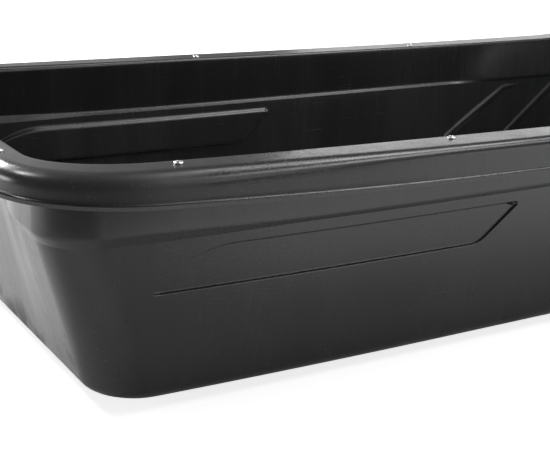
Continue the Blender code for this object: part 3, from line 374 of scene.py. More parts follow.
# Trimmed edge of the plastic: colour and roughness, tones, noise and bump
EDGE_BASE = ((0.06, 0.06, 0.062), 0.6)
EDGE_TONES = ((0.045, 0.045, 0.047), (0.10, 0.10, 0.102))
EDGE_MARKS = (160.0, 4.0, 0.5, (1.0, 1.0, 6.0))
EDGE_BUMP = (0.0004, 0.6)

# Metals: their marks, and dark and light tones with a roughness
METAL_SCALE = 60.0
METAL_DEPTH = 0.0001
METAL_STRENGTH = 0.5
METAL_FINENESS = 12              # of the marks against the tone
METAL_ROUGHNESS = (0.8, 1.25)    # shares of the roughness between which it varies
RIVET_LOOK = ((0.72, 0.73, 0.74), (0.86, 0.87, 0.88), 0.24)
BOLT_LOOK = ((0.50, 0.51, 0.52), (0.70, 0.71, 0.71), 0.34)
FORGED_LOOK = ((0.22, 0.21, 0.21), (0.40, 0.39, 0.38), 0.45, 90.0, 0.0004)   # with its own marks

# Zinc of the frame tube
ZINC_BASE = ((0.55, 0.56, 0.57), 0.42)
ZINC_TONES = ((0.46, 0.47, 0.48), (0.66, 0.67, 0.68))
ZINC_ROUGHNESS = (0.34, 0.52)
ZINC_SCALE, ZINC_GRAIN = 220.0, 500.0
ZINC_BUMP = (0.0001, 0.4)

# Paint and its chips
PAINT_BASE = ((0.025, 0.025, 0.027), 0.36)
PAINT_TONES = ((0.018, 0.018, 0.02), (0.034, 0.034, 0.036))
PAINT_ROUGHNESS = (0.30, 0.42)
PAINT_CLOUDS = (18.0, 3.0)
ORANGE_PEEL = (700.0, 2.0)
PEEL_BUMP = (0.00015, 0.5)
CHIPS = (55.0, 5.0, 0.6)
CHIP_LIMITS = (0.70, 0.73)
CHIP_COLOUR = (0.20, 0.17, 0.15)
CHIP_ROUGHNESS = 0.3

# Plastic of the runner strips
RUNNER_BASE = ((0.045, 0.045, 0.047), 0.5)
RUNNER_TONES = ((0.035, 0.035, 0.037), (0.09, 0.09, 0.092))
RUNNER_ROUGHNESS = (0.42, 0.6)
RUNNER_CLOUDS = (12.0, 3.0)
SCRATCHES = (700.0, 4.0, 0.7, (0.02, 1.0, 1.0))
SCRATCH_LIMITS = (0.45, 0.75)
RUNNER_BUMP = (0.0003, 0.5)

# Steps of the tub's grid and of its floor
FOOT_STEPS = 8
WALL_STEPS = 14
LEDGE_STEPS = 4
BAND_STEPS = 8
BAND_CORNER_POWER = 8
EDGE_STEPS = 8
TOP_STEPS = 6
SHOULDER_STEPS = 9
SKIRT_STEPS = 4
CURL_STEPS = 5
ZONES = (("rear", 16), ("rear corner", 34), ("side", 110), ("bow corner", 30), ("bow", 8))
STATIONS = [(zone, step / steps) for zone, steps in ZONES for step in range(steps)] + [("bow", 1.0)]
SIDE_FIRST = sum(steps for _, steps in ZONES[:2])
SIDE_LAST = SIDE_FIRST + ZONES[2][1]
PATCH_ABOVE_FOOT = 5
PATCH_ROWS = (FOOT_STEPS + PATCH_ABOVE_FOOT, FOOT_STEPS + WALL_STEPS)    # of the panel and the ribs
WALL_KEEP_OUT = 0.0035           # how near to a relief no point of the grid may lie
FLOOR_KEEP_OUT = 0.004
EDGE_KEEP_OUT = 0.008
FLOOR_STEPS = 60
FLOOR_ROWS = 12
FLOOR_ROW = 0.0255               # distance between rows
TUB_SAME_POINT = 0.00001         # limits below which points and faces are the same or nothing
SAME_DELAUNAY = 1e-7
LEAST_AREA = 1e-12

# Sides with the sign of their Y
SIDES = (("left", 1), ("right", -1))


# Shapes of the tub

def smooth(low, high, value):
    """Share from 0 to 1 that eases in and out between two limits."""
    share = min(max((value - low) / (high - low), 0.0), 1.0)
    return share * share * (3 - 2 * share)


def arc(before, corner, after, radius, steps):
    """Points of the round that replaces a corner between two straight lines."""
    before, corner, after = Vector(before), Vector(corner), Vector(after)
    back = (before - corner).normalized()
    ahead = (after - corner).normalized()
    half = back.angle(ahead) / 2
    reach = radius / math.tan(half)
    centre = corner + (back + ahead).normalized() * (radius / math.sin(half))
    start, end = corner + back * reach - centre, corner + ahead * reach - centre
    sweep = start.angle(end)
    points = []
    for share in (step / steps for step in range(steps + 1)):
        near = math.sin((1 - share) * sweep) / math.sin(sweep)
        far = math.sin(share * sweep) / math.sin(sweep)
        points.append(centre + start * near + end * far)
    return points


def rise(distance, radius):
    """Rise of a long shallow curve at a distance from where it starts."""
    return distance ** 2 / (2 * radius)


def floor_rise(x):
    """How far the floor has swept up at a place behind its straight part."""
    return rise(min(x - FLOOR_REAR_X, 0.0), FLOOR_SWEEP_RADIUS)


def rim_rise(x):
    """Height of the rim's flat top above the floor's underside."""
    bow = rise(max(x - BOW_RISE_X, 0.0), BOW_SWEEP_RADIUS)
    return RIM_HEIGHT + rise(x - RIM_LOW_X, RIM_SWEEP_RADIUS) + bow


def inner_face(floor_corner, lean, height):
    """Place of a leaning wall's inner face at a height above the floor's underside."""
    return floor_corner + lean * height - SHEET * math.hypot(1.0, lean)


def section(floor_corner, lean, foot_radius, rim, width, flare, height, soft, ledge_rise):
    """Upper surface of the sheet from the floor to the lip, as lists of (outward, upward) points.

    Returns the foot, the ledge, the ledge without its step, the rim's inner edge, its shoulder and its lip.
    """
    low = LEDGE_HEIGHT + (LEDGE_RISE - ledge_rise) / 2
    top = low + ledge_rise
    foot_point = (inner_face(floor_corner, lean, SHEET), SHEET)
    under_ledge = (inner_face(floor_corner, lean, low), low)
    over_ledge = (inner_face(floor_corner, lean, top) + LEDGE_STEP, top)
    edge, shoulder = (rim, height), (rim + width, height)
    skirt = (rim + width + flare, height - SKIRT_DEPTH)
    lip = (rim + width + flare + LIP_WIDTH, height - SKIRT_DEPTH)
    foot = arc((0.0, SHEET), foot_point, under_ledge, foot_radius, FOOT_STEPS)
    ledge = arc(foot_point, under_ledge, over_ledge, LEDGE_RADII[0], LEDGE_STEPS)
    ledge += arc(under_ledge, over_ledge, edge, LEDGE_RADII[1], LEDGE_STEPS)
    inner_edge = arc(over_ledge, edge, shoulder, RIM_EDGE_RADII[soft], EDGE_STEPS)
    end = arc(over_ledge, edge, shoulder, RIM_EDGE_RADII[0], EDGE_STEPS)[0]
    plain = [foot[-1].lerp(end, (point.y - foot[-1].y) / (end.y - foot[-1].y)) for point in ledge]
    outer_edge = arc(edge, shoulder, skirt, SHOULDER_RADII[soft], SHOULDER_STEPS)
    curl = arc(shoulder, skirt, lip, SKIRT_RADIUS, CURL_STEPS)
    return foot, ledge, plain, inner_edge, outer_edge, curl + [Vector(lip)]


def bow_lean():
    """Outward travel of the bow wall per metre of height, with which it meets the rim."""
    height = rim_rise(TUBE_FRONT)
    lean = (RIM_FRONT - FLOOR_FRONT) / height
    for _ in range(4):
        lean = (RIM_FRONT + SHEET * math.hypot(1.0, lean) - FLOOR_FRONT) / height
    return lean


def sections(soft=False, ledge_rise=LEDGE_RISE):
    """The side, rear and bow sections."""
    foot = FLOOR_RADIUS - SHEET
    side = section(FLOOR_HALF_WIDTH, SIDE_LEAN, foot, RIM_HALF, RIM_WIDTH, SKIRT_FLARE, RIM_HEIGHT,
                   soft, ledge_rise)
    rear = section(FLOOR_REAR, REAR_LEAN, foot, RIM_REAR, RIM_END_WIDTH, SKIRT_END_FLARE,
                   rim_rise(-TUBE_REAR), soft, ledge_rise)
    bow = section(FLOOR_FRONT, bow_lean(), BOW_RADIUS - SHEET, RIM_FRONT, RIM_END_WIDTH, SKIRT_END_FLARE,
                  rim_rise(TUBE_FRONT), soft, ledge_rise)
    return side, rear, bow


def corner_point(share, radii, power):
    """Point of a quarter of a superellipse, from its X end to its Y end."""
    angle = share * math.pi / 2
    return radii[0] * math.cos(angle) ** (2 / power), radii[1] * math.sin(angle) ** (2 / power)


def plan_point(station, side, rear, front, rear_radii, bow_radii, narrowing=0.0, power=REAR_CORNER_POWER):
    """Point of a closed curve round the tub, seen from above."""
    zone, share = station
    narrow = side - narrowing
    rear_start, bow_start = -rear + rear_radii[0], front - bow_radii[0]
    if zone == "rear":
        return -rear, share * (narrow - rear_radii[1])
    if zone == "rear corner":
        x, y = corner_point(share, rear_radii, power)
        return rear_start - x, narrow - rear_radii[1] + y
    if zone == "side":
        x = rear_start + share * (bow_start - rear_start)
        behind = max((FLOOR_REAR_X - x) / (FLOOR_REAR_X - rear_start), 0.0)
        return x, side - narrowing * behind ** 2
    if zone == "bow corner":
        x, y = corner_point(1.0 - share, bow_radii, 2.0)
        return bow_start + x, side - bow_radii[1] + y
    return front, (1.0 - share) * (side - bow_radii[1])


def blend(station, side, rear, bow):
    """Value that goes over from the rear to the side to the bow through the corners."""
    zone, share = station
    if zone == "rear corner":
        return rear + (side - rear) * smooth(0.0, 1.0, share)
    if zone == "bow corner":
        return side + (bow - side) * smooth(0.0, 1.0, share)
    return {"rear": rear, "side": side, "bow": bow}[zone]


def side_ledge_share(x):
    """How much of the ledge is left on the side. It goes below nothing where the ledge becomes a crease."""
    return (1.0 - LEDGE_TURN * smooth(*LEDGE_FADE_X, x)) * (1.0 - smooth(*CREASE_END_X, x))


def ledge_share(zone, x, y):
    """How much of the ledge is left at a place: all of it, or less where it runs out."""
    if zone.startswith("bow"):
        return 0.0
    return smooth(*LEDGE_FADE_Y, y) if zone == "rear" else side_ledge_share(x)


def grown(radii, amount):
    """Corner radii of a curve that runs parallel outside another."""
    return radii[0] + amount, radii[1] + amount


def wall_ring(flat, stepped, rear_radii, bow_radii):
    """Ring of the floor's edge or the wall, from points of the sections without the ledge and with it."""
    ring = []
    plan = (flat[2].x, rear_radii, bow_radii, 0.0, WALL_CORNER_POWER)
    for station in STATIONS:
        share = ledge_share(station[0], *plan_point(station, flat[0].x, flat[1].x, *plan))
        side, rear = [flat[part].x + (stepped[part].x - flat[part].x) * share for part in (0, 1)]
        x, y = plan_point(station, side, rear, *plan)
        height = blend(station, flat[0].y, flat[1].y, flat[2].y)
        ring.append(Vector((x, y, FLOOR_Z + floor_rise(x) + height)))
    return ring


def rim_ring(points, corner, bow_corner, middle, power=REAR_CORNER_POWER):
    """Ring of the rim. The corners run parallel to those at the middle of its edge or shoulder."""
    growth = points[0].x - middle
    drop = RIM_HEIGHT - points[0].y
    plan = [point.x for point in points] + [grown(corner, growth), grown(bow_corner, growth)]
    ring = []
    for station in STATIONS:
        x, y = plan_point(station, *plan, RIM_NARROWING, power)
        top = FLOOR_Z + rim_rise(plan_point(station, *TUBE_PLAN)[0])
        shorter = rise(min(x - FLOOR_REAR_X, 0.0), SKIRT_SWEEP_RADIUS) if drop > SKIRT_DEPTH / 2 else 0.0
        ring.append(Vector((x, y, top - drop + shorter)))
    return ring


def between(first, last, steps):
    """Rings on the straight lines between two others."""
    return [[a.lerp(b, step / steps) for a, b in zip(first, last)] for step in range(1, steps)]


def band_rings(low, high, three):
    """Rings of the band above the ledge, whose corners stay as tight as the ledge's until near the rim."""
    points = [part[3][0] for part in three]
    growth = points[0].x - three[0][1][-1].x
    tight = rim_ring(points, grown(LEDGE_CORNER, growth), BOW_EDGE_CORNER, points[0].x, WALL_CORNER_POWER)
    wide = rim_ring(points, EDGE_CORNER, BOW_EDGE_CORNER, RIM_HALF)
    rings = []
    for share in (step / BAND_STEPS for step in range(1, BAND_STEPS)):
        late = share ** BAND_CORNER_POWER
        rings.append([a.lerp(b, share) + (c - b) * late + (d - c) * share
                      for a, b, c, d in zip(low, tight, wide, high)])
    return rings


def softened(sharp, soft, part, corner, bow_corner, middle):
    """Rings of the rim's inner edge or shoulder, rounder near the rear corners."""
    rings = []
    for index in range(len(sharp[0][part])):
        pair = [rim_ring([section[part][index] for section in three], corner, bow_corner, middle)
                for three in (sharp, soft)]
        rings.append([a if station[0].startswith("bow") else a.lerp(b, 1.0 - smooth(*RIM_SOFT_X, a.x))
                      for a, b, station in zip(*pair, STATIONS)])
    return rings


def tub_rings():
    """Rings of the upper surface from the floor's edge to the lip."""
    three, slim, soft = sections(), sections(False, SLIM_LEDGE_RISE), sections(True)
    side = three[0]
    rings = []
    for index in range(FOOT_STEPS + 1):
        points = [part[0][index] for part in three]
        bow_radii = [low + (high - low) * (index / FOOT_STEPS)
                     for low, high in zip(BOW_FLOOR_CORNER, BOW_WALL_CORNER)]
        rings.append(wall_ring(points, points, grown(FLOOR_CORNER, points[0].x - side[0][-1].x), bow_radii))
    ledge = []
    for index in range(len(side[1])):
        pair = [wall_ring([part[2][index] for part in parts], [part[1][index] for part in parts],
                          LEDGE_CORNER, BOW_WALL_CORNER) for parts in (three, slim)]
        ledge.append([a.lerp(b, smooth(*SLIM_LEDGE_X, a.x)) for a, b in zip(*pair)])
    rings += between(rings[-1], ledge[0], WALL_STEPS) + ledge
    edge = softened(three, soft, 3, EDGE_CORNER, BOW_EDGE_CORNER, RIM_HALF)
    rings += band_rings(rings[-1], edge[0], three) + edge
    at_shoulder = (SHOULDER_CORNER, BOW_SHOULDER_CORNER, RIM_HALF + RIM_WIDTH)
    shoulder = softened(three, soft, 4, *at_shoulder)
    rings += between(rings[-1], shoulder[0], TOP_STEPS) + shoulder
    curl = [rim_ring([part[5][index] for part in three], *at_shoulder) for index in range(CURL_STEPS + 2)]
    return rings + between(rings[-1], curl[0], SKIRT_STEPS) + curl


def ring_normals(rings):
    """Normal of the upper surface at each point of each ring, pointing up and into the tub."""
    result = []
    for row, ring in enumerate(rings):
        inner, outer = rings[max(row - 1, 0)], rings[min(row + 1, len(rings) - 1)]
        line = []
        for index in range(len(ring)):
            along = ring[min(index + 1, len(ring) - 1)] - ring[max(index - 1, 0)]
            line.append((along.cross(outer[index] - inner[index])).normalized())
        line[0].y = line[-1].y = 0.0
        result.append([normal.normalized() for normal in line])
    return result


# Outlines of the panel, the ribs and the bands

def panel_outline(growth):
    """Outline of the side panel as (x, height) points, larger by the growth."""
    rear, front = PANEL_REAR - growth, PANEL_FRONT + growth * PANEL_GROWTH[0]
    bottom, top = PANEL_BOTTOM - growth, PANEL_TOP + growth
    tip = (PANEL_TIP + growth * PANEL_GROWTH[1], PANEL_TOP - PANEL_TIP_DROP)
    ring = [(rear, bottom), (front, bottom), tip, (PANEL_TIP - PANEL_TIP_WIDTH + growth, top),
            (PANEL_TOP_REAR, top)]
    for step in range(1, PANEL_REAR_STEPS):
        angle = step / PANEL_REAR_STEPS * PANEL_REAR_ANGLE
        back = (math.sin(angle) / math.sin(PANEL_REAR_ANGLE)) ** (2 / PANEL_REAR_POWER)
        down = (1 - math.cos(angle)) / (1 - math.cos(PANEL_REAR_ANGLE))
        ring.append((PANEL_TOP_REAR + (rear - PANEL_TOP_REAR) * back, top + (bottom - top) * down))
    points = []
    for index, corner in enumerate(ring):
        if index in PANEL_ROUNDS:
            points += arc(ring[index - 1], corner, ring[index + 1], PANEL_ROUNDS[index],
                          PANEL_ROUND_STEPS)
        else:
            points.append(Vector(corner))
    return divided(points, PANEL_STEP)


def divided(points, longest):
    """A closed line of points with its long straight pieces divided."""
    result = []
    for start, end in zip(points, points[1:] + points[:1]):
        pieces = max(1, math.ceil((end - start).length / longest))
        result += [start.lerp(end, piece / pieces) for piece in range(pieces)]
    return result


def ridge(low, high, half_width, height):
    """Loops across a slanted rib whose top bends forward and fades, as outlines with their depths."""
    tail = Vector(high) + Vector(RIB_TAIL)
    line = divided([Vector(low)] + arc(low, high, tail, RIB_BEND, RIB_BEND_STEPS) + [tail], PANEL_STEP)
    line = line[:line.index(tail) + 1]
    walked = [0.0]
    for start, end in zip(line, line[1:]):
        walked.append(walked[-1] + (end - start).length)
    reach = (Vector(high) - Vector(low)).length
    taper = [1.0 - RIB_TAPER[1] * smooth(RIB_TAPER[0] * reach, walked[-1], distance)
             for distance in walked]
    loops = []
    for share in RIB_LOOPS:
        left, right, depth = [], [], []
        for index, point in enumerate(line):
            way = line[min(index + 1, len(line) - 1)] - line[max(index - 1, 0)]
            side = Vector((-way.y, way.x)).normalized() * half_width * taper[index] * (1 - share * RIB_SHRINK)
            left.append(point + side)
            right.append(point - side)
            depth.append(height * smooth(0.0, 1.0, share) * taper[index] ** 2)
        ends = [[centre + Matrix.Rotation(-math.pi * step / RIB_END_STEPS, 2) @ (edge - centre)
                 for step in range(1, RIB_END_STEPS)]
                for centre, edge in ((line[-1], left[-1]), (line[0], right[0]))]
        depths = depth + [depth[-1]] * len(ends[0]) + depth[::-1] + [depth[0]] * len(ends[1])
        loops.append((left + ends[0] + right[::-1] + ends[1], depths))
    return loops


def band_outline(growth):
    """Outline of a raised band in the floor, larger by the growth."""
    ends = (BAND_ENDS[0] - growth, BAND_ENDS[1] + growth)
    sides = (BAND_Y - BAND_HALF_WIDTH - growth, BAND_Y + BAND_HALF_WIDTH + growth)
    corners = [(ends[0], sides[0]), (ends[1], sides[0]), (ends[1], sides[1]), (ends[0], sides[1])]
    points = []
    for index, corner in enumerate(corners):
        points += arc(corners[index - 1], corner, corners[(index + 1) % 4], BAND_CORNER + growth,
                      BAND_ROUND_STEPS)
    return divided(points, BAND_STEP)


def inside(point, outline):
    """Whether a point lies inside a closed outline."""
    x, y = point[0], point[1]
    result = False
    for a, b in zip(outline, outline[1:] + outline[:1]):
        if (a.y > y) != (b.y > y) and x < a.x + (y - a.y) * (b.x - a.x) / (b.y - a.y):
            result = not result
    return result


def near(point, outline, distance):
    """Whether a point lies within a distance of an outline."""
    p = Vector(point)
    for a, b in zip(outline, outline[1:] + outline[:1]):
        line = b - a
        length = line.length_squared
        share = 0.0 if length == 0 else min(max((p - a).dot(line) / length, 0.0), 1.0)
        if (a + line * share - p).length < distance:
            return True
    return False


EASE = [(-0.35, 0.0)] + [(share / 6, smooth(0.0, 1.0, share / 6)) for share in range(7)] + [(1.35, 1.0)]


def relief(outline_at, width, height):
    """Loops of (outline, depths) across the edge of a raised shape, from its foot to its top."""
    loops = []
    for share, lift in EASE:
        outline = outline_at(width * (0.5 - share))
        loops.append((outline, [height * lift] * len(outline)))
    return loops


def depth_at(point, loops, keep_out):
    """Depth of a point of the grid between the reliefs, or nothing where no such point may lie."""
    for rings in loops:
        outer, (inner, depths) = rings[0][0], rings[-1]
        xs, ys = [p.x for p in outer], [p.y for p in outer]
        if not (min(xs) - keep_out < point.x < max(xs) + keep_out
                and min(ys) - keep_out < point.y < max(ys) + keep_out):
            continue
        if near(point, outer, keep_out) or near(point, inner, keep_out):
            return None
        if inside(point, inner):
            return depths[0]
        if inside(point, outer):
            return None
    return 0.0


def patch(shape, border, loops, grid, place, upward, keep_out):
    """Fill a closed border of (point, vertex) pairs with triangles that follow the loops of the reliefs.

    Each loop is an outline with its depths, and keep_out is how near to a loop no grid point may lie.
    """
    rim = [point for point, _ in border]
    coordinates = list(rim)
    depths = {}
    edges = [(index, (index + 1) % len(border)) for index in range(len(border))]
    for outline, depth in (ring for rings in loops for ring in rings):
        first = len(coordinates)
        coordinates += outline
        for index in range(len(outline)):
            depths[first + index] = depth[index]
            edges.append((first + index, first + (index + 1) % len(outline)))
    for point in grid:
        depth = depth_at(point, loops, keep_out)
        if depth is not None:
            depths[len(coordinates)] = depth
            coordinates.append(point)
    points, _, faces, origins = geometry.delaunay_2d_cdt(coordinates, edges, [], 0, SAME_DELAUNAY)[:4]
    verts = []
    for point, origin in zip(points, origins):
        known = [index for index in origin if index < len(border)]
        if known:
            verts.append(border[known[0]][1])
        else:
            depth = max((depths.get(index, 0.0) for index in origin), default=0.0)
            verts.append(shape.verts.new(place(point, depth)))
    for face in faces:
        a, b, c = [points[index] for index in face[:3]]
        corners = [verts[index] for index in face]
        middle = sum((points[index] for index in face), Vector((0.0, 0.0))) / len(face)
        if len(set(corners)) == len(corners) and inside(middle, rim):
            if geometry.area_tri(a.to_3d(), b.to_3d(), c.to_3d()) > LEAST_AREA:
                shape.faces.new(corners if ((b - a).cross(c - a) > 0) == upward else corners[::-1])


# Tub

WALL = sections()[0]
WALL_INWARD = Vector((0.0, -1.0, SIDE_LEAN)).normalized()


def wall_place(x, height):
    """Point on the left wall's inner face at a height above the floor's underside."""
    foot, ledge, plain = WALL[:3]
    share = (height - foot[-1].y) / (ledge[0].y - foot[-1].y)
    stepped = foot[-1].x + (ledge[0].x - foot[-1].x) * share
    flat = foot[-1].x + (plain[0].x - foot[-1].x) * share
    return Vector((x, flat + (stepped - flat) * side_ledge_share(x), FLOOR_Z + floor_rise(x) + height))


def tub_half(shape):
    """Both surfaces of the tub's left half and its cut edge."""
    rings = tub_rings()
    normals = ring_normals(rings)
    for under in (False, True):
        verts = [[shape.verts.new(point - normal * SHEET if under else point)
                  for point, normal in zip(ring, line)] for ring, line in zip(rings, normals)]
        for row in range(len(verts) - 1):
            for index in range(len(verts[0]) - 1):
                if PATCH_ROWS[0] <= row < PATCH_ROWS[1] and SIDE_FIRST <= index < SIDE_LAST:
                    continue
                corners = (verts[row][index], verts[row][index + 1], verts[row + 1][index + 1],
                           verts[row + 1][index])
                shape.faces.new(corners[::-1] if under else corners)
        side_patch(shape, rings, verts, under)
        floor_patch(shape, rings[0], verts[0], under)
        if under:
            for index in range(len(verts[-1]) - 1):
                face = shape.faces.new((upper_edge[index], upper_edge[index + 1], verts[-1][index + 1],
                                        verts[-1][index]))
                face.material_index = 1
        upper_edge = verts[-1]


def side_patch(shape, rings, verts, under):
    """Part of the side wall with the panel and the ribs."""
    low, high = PATCH_ROWS

    def flat(row, index):
        point = rings[row][index]
        return Vector((point.x, point.z - FLOOR_Z - floor_rise(point.x)))

    border = [(low, index) for index in range(SIDE_FIRST, SIDE_LAST)]
    border += [(row, SIDE_LAST) for row in range(low, high)]
    border += [(high, index) for index in range(SIDE_LAST, SIDE_FIRST, -1)]
    border += [(row, SIDE_FIRST) for row in range(high, low, -1)]
    border = [(flat(row, index), verts[row][index]) for row, index in border]
    grid = [flat(row, index) for row in range(low + 1, high) for index in range(SIDE_FIRST + 1, SIDE_LAST)]
    if under:
        loops = [relief(panel_outline, RECESS_SLOPE, PANEL_DEPTH)]
    else:
        loops = [relief(lambda growth: panel_outline(growth + PANEL_EDGE), PLATEAU_SLOPE, PLATEAU_DEPTH)]
    loops += [ridge(*rib, *(GROOVE_SIZE if under else RIB_SIZE)) for rib in RIBS]
    back = SHEET * math.hypot(1.0, SIDE_LEAN) if under else 0.0

    def place(point, depth):
        base = wall_place(point[0], point[1])
        base.y += back
        return base + WALL_INWARD * depth

    patch(shape, border, loops, grid, place, under, WALL_KEEP_OUT)


def floor_patch(shape, ring, verts, under):
    """Floor of the left half, with its raised band."""
    base = 0.0 if under else SHEET

    def place(point, depth):
        return Vector((point[0], point[1], FLOOR_Z + floor_rise(point[0]) + base + depth))

    border = [(Vector((point.x, point.y)), vertex) for point, vertex in zip(ring, verts)]
    columns = [ring[0].x + (ring[-1].x - ring[0].x) * step / FLOOR_STEPS for step in range(FLOOR_STEPS + 1)]
    for x in columns[-2:0:-1]:
        border.append((Vector((x, 0.0)), shape.verts.new(place((x, 0.0), 0.0))))
    border = border[::-1]
    edge = [point for point, _ in border]
    grid = [Vector((x, row * FLOOR_ROW)) for x in columns[1:-1] for row in range(1, FLOOR_ROWS + 1)]
    grid = [point for point in grid if inside(point, edge) and not near(point, edge, EDGE_KEEP_OUT)]
    wider = 0.0 if under else SHEET * BAND_BEND_SHARE
    loops = [relief(lambda growth: band_outline(growth + wider - BAND_SLOPE / 2), BAND_SLOPE, BAND_HEIGHT)]
    patch(shape, border, loops, grid, place, not under, FLOOR_KEEP_OUT)


def tub():
    """The tub, both halves in one mesh."""
    shape = bmesh.new()
    tub_half(shape)
    other = bmesh.ops.duplicate(shape, geom=shape.verts[:] + shape.edges[:] + shape.faces[:])["geom"]
    for item in other:
        if isinstance(item, bmesh.types.BMVert):
            item.co.y = -item.co.y
    bmesh.ops.reverse_faces(shape, faces=[item for item in other if isinstance(item, bmesh.types.BMFace)])
    bmesh.ops.remove_doubles(shape, verts=shape.verts, dist=TUB_SAME_POINT)
    dress("tub_shell", shape, "sled", ["tub"], [plastic(), trimmed_edge()], sharp=42.0)


# Turned and bent pieces, and how pieces are made of them

def angles(steps):
    """Angles of equal steps round a full turn."""
    return [math.tau * step / steps for step in range(steps)]


def lathe(outline_at, steps=TURNED_STEPS, closed=False):
    """Shape turned round Z. Its outline at an angle is (radius, height) points, open or as a ring."""
    shape = bmesh.new()
    columns = []
    for angle in angles(steps):
        columns.append([shape.verts.new((radius * math.cos(angle), radius * math.sin(angle), height))
                        for radius, height in outline_at(angle)])
    for one, other in zip(columns, columns[1:] + columns[:1]):
        for row in range(len(one) if closed else len(one) - 1):
            below = (row + 1) % len(one)
            shape.faces.new((one[row], other[row], other[below], one[below]))
    bmesh.ops.remove_doubles(shape, verts=shape.verts, dist=SAME_POINT)
    bmesh.ops.recalc_face_normals(shape, faces=shape.faces)
    return shape


def along(point, direction, axis="Z"):
    """Matrix that takes a shape turned round Z to a point, its axis along a direction."""
    return Matrix.Translation(Vector(point)) @ Vector(direction).to_track_quat(axis, "Y").to_matrix().to_4x4()


def rod(start, end, radius, edge=TURNED_EDGE, steps=TURNED_STEPS):
    """Round bar between two points, with its edges taken off."""
    start, end = Vector(start), Vector(end)
    length = (end - start).length
    nearly = edge * EDGE_SHARE
    profile = [(0.0, 0.0), (radius - edge, 0.0), (radius - nearly, nearly), (radius, edge),
               (radius, length - edge), (radius - nearly, length - nearly), (radius - edge, length),
               (0.0, length)]
    shape = lathe(lambda angle: profile, steps)
    shape.transform(along(start, end - start))
    return shape


def skinned(shape, rings, closed=False):
    """Shape with faces between its rings of vertices, and over both ends unless it closes on itself."""
    for one, two in zip(rings, rings[1:] + rings[:1] if closed else rings[1:]):
        for index in range(len(one)):
            following = (index + 1) % len(one)
            shape.faces.new((one[index], one[following], two[following], two[index]))
    if not closed:
        shape.faces.new(rings[0])
        shape.faces.new(rings[-1])
    bmesh.ops.recalc_face_normals(shape, faces=shape.faces)
    return shape


def pipe(points, radius, sides=TUBE_SIDES, closed=False):
    """Round bar along a line of points. Its radius is a number or a function of the distance along it."""
    shape = bmesh.new()
    distance, across, rings = 0.0, None, []
    for index, point in enumerate(points):
        before = points[index - 1] if closed or index else point
        after = points[(index + 1) % len(points)] if closed or index < len(points) - 1 else point
        way = (after - before).normalized()
        if across is None:
            across = way.orthogonal().normalized()
        across = (across - way * across.dot(way)).normalized()
        other = way.cross(across)
        distance += (point - before).length if index else 0.0
        size = radius(distance) if callable(radius) else radius
        rings.append([shape.verts.new(point + (across * math.cos(turn) + other * math.sin(turn)) * size)
                      for turn in angles(sides)])
    return skinned(shape, rings, closed)


def line_through(corners, radius, steps=BEND_STEPS):
    """Open line of points through corners, each inner corner rounded."""
    points = [Vector(corners[0])]
    for before, corner, after in zip(corners, corners[1:], corners[2:]):
        points += arc(before, corner, after, radius, steps)
    return points + [Vector(corners[-1])]


def linked(name, data):
    """Object of a mesh, a lamp or a camera, in the scene."""
    obj = bpy.data.objects.new(name, data)
    bpy.context.scene.collection.objects.link(obj)
    return obj


def as_mesh(shape):
    """Mesh of a shape."""
    mesh = bpy.data.meshes.new("Shape")
    shape.to_mesh(mesh)
    shape.free()
    return mesh


def carved(pieces, cuts=()):
    """Mesh of shapes that are joined into one, less others."""
    base = linked("Loose", as_mesh(pieces[0]))
    spent = [base]
    for operation, shapes in (("UNION", pieces[1:]), ("DIFFERENCE", cuts)):
        for shape in shapes:
            spent.append(linked("Loose", as_mesh(shape)))
            modifier = base.modifiers.new(operation, "BOOLEAN")
            modifier.operation = operation
            modifier.solver = "EXACT"
            modifier.object = spent[-1]
    mesh = bpy.data.meshes.new_from_object(base.evaluated_get(bpy.context.evaluated_depsgraph_get()))
    for obj in spent:
        bpy.data.objects.remove(obj)
    return mesh


def dress(name, shape, body, nodes, materials, sharp=SHARP):
    """A visible piece made of a shape or a mesh, which rides on a body and stands for CAD nodes."""
    mesh = as_mesh(shape) if isinstance(shape, bmesh.types.BMesh) else shape
    mesh.shade_smooth()
    mesh.set_sharp_from_angle(angle=math.radians(sharp))
    for material in materials:
        mesh.materials.append(material)
    piece = linked(name, mesh)
    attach(piece, body)
    if nodes:
        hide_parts(*nodes)


def skin(node, shape, slot, sharp=SHARP, body="sled", made_of=None):
    """Visible piece that stands for one CAD node, in the metal of its slot unless another is named."""
    dress(node + "_skin", shape, body, [node], [METALS[made_of or slot]], sharp)


def weld(name, points, body, radius=WELD_RADIUS):
    """Painted weld bead along a line of points, with its ripples."""
    close = [start.lerp(end, piece / WELD_PIECES) for start, end in zip(points, points[1:])
             for piece in range(WELD_PIECES)]
    steps = []
    distance = WELD_RIPPLE
    for start, end in zip(close, close[1:] + [points[-1]]):
        distance += (end - start).length
        if distance >= WELD_RIPPLE / WELD_RIPPLE_STEPS:
            steps.append(start)
            distance = 0.0
    steps.append(Vector(points[-1]))

    def swollen(reach):
        return radius * (1 + WELD_SWELL * math.sin(math.tau * reach / WELD_RIPPLE))

    dress(name, pipe(steps, swollen, WELD_SIDES), body, [], [METALS["painted"]], sharp=60.0)


# Frame tubes, rivets, bolts, nuts, strips and brackets

def tube_path():
    """Middle line of the left half of the rim frame."""
    points = []
    for station in STATIONS:
        x, y = plan_point(station, *TUBE_PLAN)
        points.append(Vector((x, y, FLOOR_Z + rim_rise(x) - SHEET - TUBE_RIM_GAP - TUBE_RADIUS)))
    return points


def frame_tubes():
    """Both halves of the tube under the rim. Their splice plugs lie inside them."""
    for name, side in SIDES:
        path = [Vector((point.x, side * point.y, point.z)) for point in tube_path()]
        for end in (0, -1):
            path[end].y = side * TUBE_JOINT_GAP / 2
        skin("frame_tube_" + name, pipe(path, TUBE_RADIUS), "tube")


